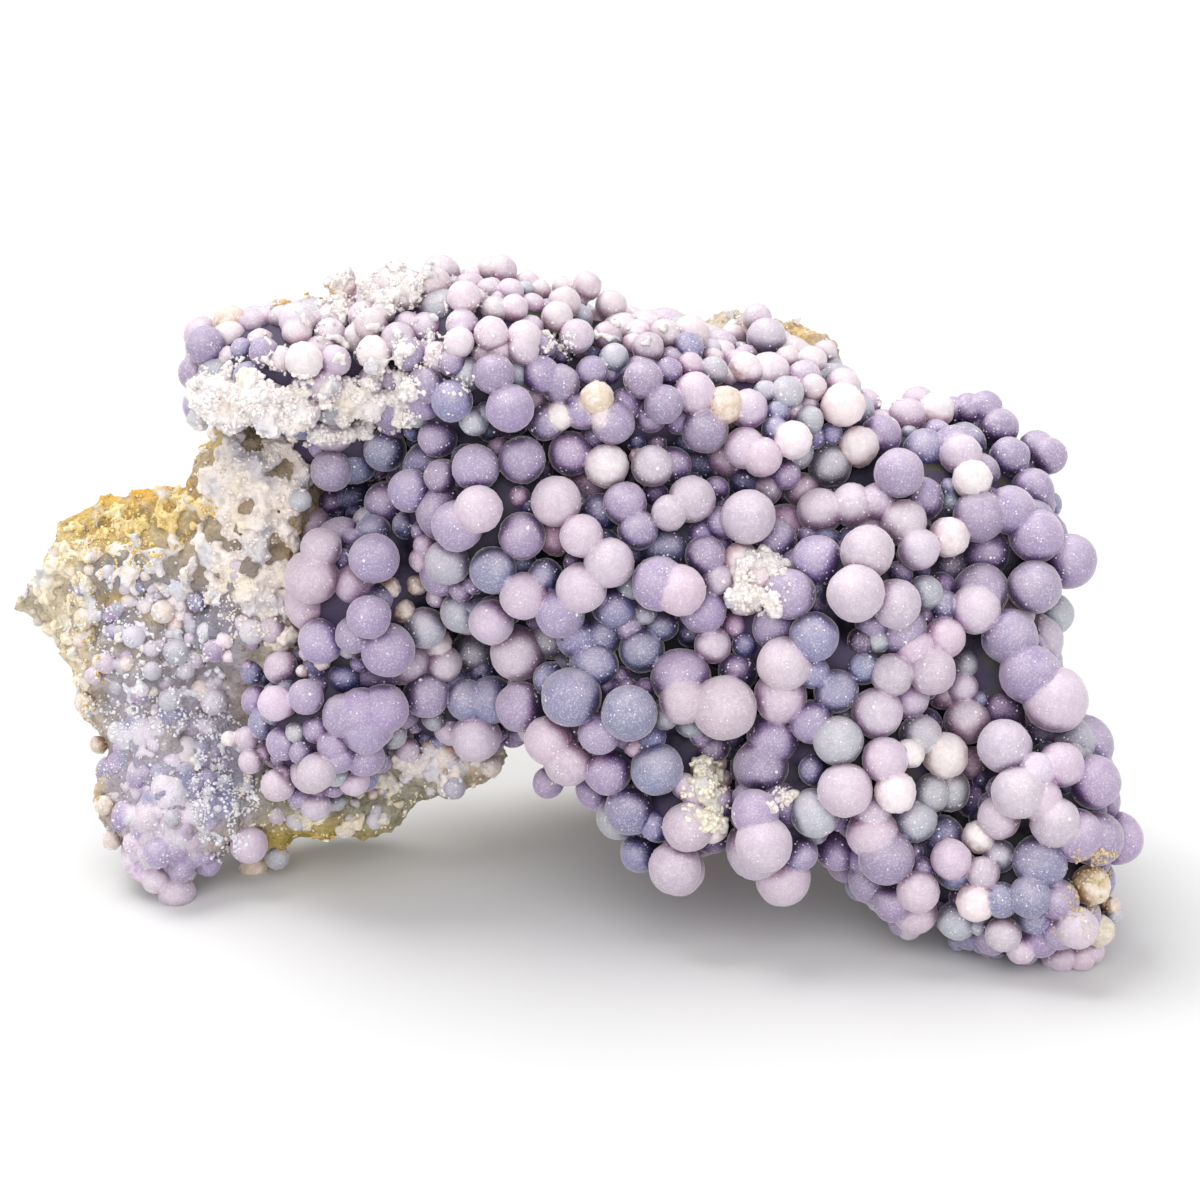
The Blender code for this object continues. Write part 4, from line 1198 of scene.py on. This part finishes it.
def chalcedony():
    """Frosted, slightly translucent balls, with specks of crystal that gather in the creases. Their
    faces turned up and to the front get a painted highlight, and their creases painted shade.
    """
    material, tree, shader = new_material("chalcedony")
    tint = attribute(tree, "tint", "Color")
    lit_frost = attribute(tree, "lit_frost", "Fac")
    crusted = attribute(tree, "crusted", "Fac")
    cloud = noise_at(tree, 3.2 * MM, 4)
    # Painted highlight: paler frosting on the faces turned up and to the front, where the light
    # falls.
    soft = times(tree, ramped(tree, lit_frost, 0.5, 1.0, 0.40), ramped(tree, cloud, 0.2, 0.8))
    colour = mixed(tree, soft, tint, (0.80, 0.68, 0.74))
    dusty = ramped(tree, noise_at(tree, 0.3 * MM, 3, 0.7), 0.48, 0.66, 0.35)
    colour = mixed(tree, dusty, colour, (0.93, 0.87, 0.91))
    flaky = times(tree, crusted, ramped(tree, noise_at(tree, 0.9 * MM, 4, 0.65), 0.42, 0.62, 0.5))
    colour = mixed(tree, flaky, colour, (0.92, 0.86, 0.84))
    # Painted shade: darker and richer in the creases between the balls.
    colour = shaded_in_crevices(tree, colour, 0.20, 0.72, 3.0)
    patchy = ramped(tree, noise_at(tree, 2.2 * MM, 2), 0.45, 0.60)
    beside = ramped(tree, attribute(tree, "depth", "Fac"), 0.10, 0.34, 0.8)
    for size, radius, share, where in (
        (0.6 * MM, 0.14 * MM, 0.50, patchy),
        (1.0 * MM, 0.20 * MM, 0.60, beside),
        (2.3 * MM, 0.32 * MM, 0.40, patchy),
    ):
        dots = times(tree, sparkles(tree, size, radius, share), where)
        colour = mixed(tree, dots, colour, (1.0, 0.98, 0.97))
    tree.links.new(colour, shader.inputs["Base Color"])
    shader.inputs["Roughness"].default_value = 0.42
    shader.subsurface_method = "BURLEY"
    shader.inputs["Subsurface Weight"].default_value = 0.45
    shader.inputs["Subsurface Radius"].default_value = (1.0, 0.75, 0.95)
    shader.inputs["Subsurface Scale"].default_value = 1.0 * MM
    shader.inputs["Sheen Weight"].default_value = 1.0
    shader.inputs["Sheen Roughness"].default_value = 0.3
    shader.inputs["Sheen Tint"].default_value = (1.0, 0.90, 0.94, 1)
    bumped(tree, shader, noise_at(tree, 0.4 * MM, 3, 0.65), 0.8, 0.16 * MM)
    return material


def gap_shade_material():
    """The chalcedony body that shows between the balls, painted almost black as the shade in the
    gaps.
    """
    material, tree, shader = new_material("chalcedony_base_in_shade")
    # Painted shade: near-black colours for the gaps between the balls, a little greener in patches.
    greener_patches = ramped(tree, noise_at(tree, 6 * MM, 3), 0.55, 0.7)
    colour = mixed(tree, greener_patches, (0.04, 0.025, 0.07), (0.04, 0.04, 0.02))
    # Painted shade: darker still where the place is enclosed.
    colour = shaded_in_crevices(tree, colour, 0.3, 0.8, 0.9)
    tree.links.new(colour, shader.inputs["Base Color"])
    shader.inputs["Roughness"].default_value = 0.6
    bumped(tree, shader, noise_at(tree, 0.5 * MM, 3), 0.6, 0.25 * MM)
    return material


def sugared(tree, size):
    """The height of a skin of small crystals: grains of a size in metres, over finer noise."""
    place = tree.nodes.new("ShaderNodeTexCoord")
    grain = node_of(tree, "ShaderNodeTexVoronoi", Scale=1 / size, Randomness=1.0)
    tree.links.new(place.outputs["Object"], grain.inputs["Vector"])
    high = node_of(tree, "ShaderNodeMath", operation="SUBTRACT")
    tree.links.new(noise_at(tree, 0.5 * size, 4, 0.6), high.inputs[0])
    tree.links.new(grain.outputs["Distance"], high.inputs[1])
    return high.outputs[0]


def rock_material():
    """Chalky rock in its stains, with its pits painted dark as their shade, and painted shade
    between its crumbs and where it is enclosed.
    """
    material, tree, shader = new_material("host_rock")
    stain = attribute(tree, "tint", "Color")
    # Painted shade: dark pits scattered by noise, standing for the shade inside pits in the rock.
    pore_shade = ramped(tree, noise_at(tree, 1.3 * MM, 4, 0.65), 0.28, 0.44)
    dark = mixed(tree, 0.75, stain, (0.17, 0.13, 0.09))
    colour = mixed(tree, pore_shade, dark, stain)
    pale = ramped(tree, noise_at(tree, 2.2 * MM, 5, 0.65), 0.53, 0.66, 0.3)
    colour = mixed(tree, pale, colour, (0.90, 0.85, 0.79))
    # Painted shade: darker where a place lies deep between the crumbs.
    deep = ramped(tree, attribute(tree, "cavity", "Fac"), 0.45, 0.85, 0.6)
    colour = mixed(tree, deep, colour, (0.25, 0.20, 0.14))
    # Painted shade: darker where the rock is enclosed.
    colour = shaded_in_crevices(tree, colour, 0.25, 0.8, 1.0)
    tree.links.new(colour, shader.inputs["Base Color"])
    shader.inputs["Roughness"].default_value = 0.9
    bumped(tree, shader, sugared(tree, 0.7 * MM), 1.0, 0.4 * MM)
    return material


def grain_material():
    """Crystals and crumbs in their own colours, with painted shade between the crumbs and where
    they are enclosed.
    """
    material, tree, shader = new_material("grains")
    # Painted shade: darker where a place lies deep between the crumbs.
    deep = ramped(tree, attribute(tree, "cavity", "Fac"), 0.45, 0.85, 0.5)
    colour = mixed(tree, deep, attribute(tree, "tint", "Color"), (0.42, 0.38, 0.37))
    # Painted shade: darker where the crust is enclosed.
    colour = shaded_in_crevices(tree, colour, 0.35, 0.9, 0.9)
    tree.links.new(colour, shader.inputs["Base Color"])
    shader.inputs["Roughness"].default_value = 0.45
    shader.subsurface_method = "BURLEY"
    shader.inputs["Subsurface Weight"].default_value = 0.3
    shader.inputs["Subsurface Radius"].default_value = (1.0, 0.9, 0.85)
    shader.inputs["Subsurface Scale"].default_value = 0.4 * MM
    bumped(tree, shader, sugared(tree, 0.45 * MM), 0.7, 0.15 * MM)
    return material


def stain_rock(rock):
    """Colours the rock by the stains of the front view, and its unseen sides by soft noise."""
    points = corner_points(rock.data)
    columns, rows = seen_at(points)
    patches = np.array([noise.noise(Vector(p) / (11 * MM)) for p in points])
    colours = np.array(ROCK_COLOUR) * (1 + 0.25 * patches)[:, None]
    ochre = np.clip(patches * 2.5 - 0.2, 0, 0.8)[:, None]
    colours = colours * (1 - ochre) + np.array(OCHRE) * ochre
    front = np.clip(1 - (points[:, 1] / MM - 16) / 8, 0, 1)
    for column, row, wide, high, colour in ROCK_STAINS:
        away = ((columns - column) / wide) ** 2 + ((rows - row) / high) ** 2
        share = (np.exp(-away) * front * np.clip(1 + 0.8 * patches, 0, 1))[:, None]
        colours = colours * (1 - share) + np.array(colour) * share
    store_colour(rock.data, "tint", colours, "POINT")


def break_rock(rock):
    """Breaks the rock off along its planes and gives it broad swells."""
    for point, side in BREAKS:
        break_off(rock, point, side)
    melt(rock, BODY_VOXEL)
    roughen(rock, ROUGHNESS)


def specimen():
    """All the pieces that stand for the two solids."""
    chance = np.random.default_rng(SEED + 1)
    rock = lumps("host_rock_mesh", ROCK_MASSES, ROCK_PITS, BODY_VOXEL)
    rock_surface = tree_of(rock)
    agate = lumps("agate_base", AGATE_MASSES, AGATE_PITS, BODY_VOXEL)
    agate_surface = tree_of(agate)
    break_rock(rock)
    melt(rock, ROCK_VOXEL)
    roughen(rock, FINE_ROUGHNESS)
    floor = block("ground")
    floor.location.z = -BLOCK
    combine(rock, floor, "DIFFERENCE", "MANIFOLD")
    crumble(rock, CRUMBS)
    stain_rock(rock)

    regions = {name: grown_balls(listed, agate_surface) for name, listed in REGIONS.items()}
    listed = [ball for balls in regions.values() for ball in balls]
    fillers = above_ground(filler_balls(agate, listed, rock_surface))
    gaps = above_ground(gap_balls(agate, listed + fillers, chance))
    knobs = grown_balls(ROCK_BALLS, tree_of(rock))
    knobs += above_ground(scattered_balls(ROCK_BEADS, tree_of(rock), chance))
    filled = filled_grid(listed + fillers + gaps, (agate, rock))
    pieces = [ball_piece("balls_" + name, balls, True, chance) for name, balls in regions.items()]
    pieces.append(ball_piece("balls_in_gaps", gaps, False, chance))
    pieces.append(ball_piece("balls_around", fillers, False, chance))
    beads = ball_piece("rock_beads", knobs, False, chance)

    crust_lumps = crust_body("agate_crust", CRUST_LUMPS, tree_of(agate, *pieces), chance)
    front = tree_of(agate, crust_lumps, *pieces)
    crust = grains("agate_grains", crust_spots(AGATE_CRUSTS, front, chance), chance)
    popcorn = crust_body("rock_popcorn", ROCK_LUMPS, tree_of(rock), chance)
    rock_front = tree_of(rock, popcorn, beads)
    rock_crust = grains("rock_crust", crust_spots(ROCK_CRUSTS, rock_front, chance), chance)

    gem = chalcedony()
    grit = grain_material()
    made = [(agate, gap_shade_material(), True), (crust, grit, True), (crust_lumps, grit, True)]
    made += [(piece, gem, True) for piece in pieces]
    made += [(rock, rock_material(), False), (rock_crust, grit, False), (popcorn, grit, False)]
    made.append((beads, gem, False))
    for target, material, of_agate in made:
        enclosed(target, filled)
        if of_agate:
            finished(target, material, "agate_grapes")
        else:
            finished(target, material, "host_rock")


def ball_piece(name, balls, fine, chance):
    """Joined balls with their tints, crystal skin and white frosting, which is partly a painted
    highlight on the faces turned up and to the front.
    """
    made = grown_together(name, balls, fine, chance)
    tint_by_ball(made, balls, chance)
    frosted_and_lit(made)
    return made


def sunlight(name, source, strength, softness):
    """Soft light from one side of the room."""
    data = bpy.data.lights.new(name, "SUN")
    data.energy = strength
    data.angle = math.radians(softness)
    made = bpy.data.objects.new(name, data)
    made.rotation_euler = (-Vector(source)).to_track_quat("-Z", "Y").to_euler()
    bpy.context.scene.collection.objects.link(made)


def studio():
    """A pale floor, soft light and the camera of the front view."""
    bpy.ops.mesh.primitive_plane_add(size=FLOOR_SIZE)
    floor = bpy.context.object
    floor.name = "floor"
    material, _, shader = new_material("floor")
    shader.inputs["Base Color"].default_value = FLOOR_COLOUR
    shader.inputs["Roughness"].default_value = FLOOR_ROUGHNESS
    floor.data.materials.append(material)

    world = bpy.data.worlds.new("sky")
    world.use_nodes = True
    world.node_tree.nodes["Background"].inputs["Color"].default_value = SKY_COLOUR
    world.node_tree.nodes["Background"].inputs["Strength"].default_value = SKY_STRENGTH
    bpy.context.scene.world = world
    for light in LIGHTS:
        sunlight(*light)
    bpy.context.scene.view_settings.view_transform = "Standard"
    bpy.context.scene.view_settings.exposure = EXPOSURE

    data = bpy.data.cameras.new("front view")
    data.angle = 2 * math.atan(MIDDLE / FOCAL)
    data.clip_start = 0.01
    camera = bpy.data.objects.new("front view", data)
    turn = AHEAD.to_track_quat("-Z", "Y").to_matrix().to_4x4()
    camera.matrix_world = Matrix.Translation(EYE + TO_CENTRE) @ turn
    bpy.context.scene.collection.objects.link(camera)
    bpy.context.scene.camera = camera


specimen()
studio()
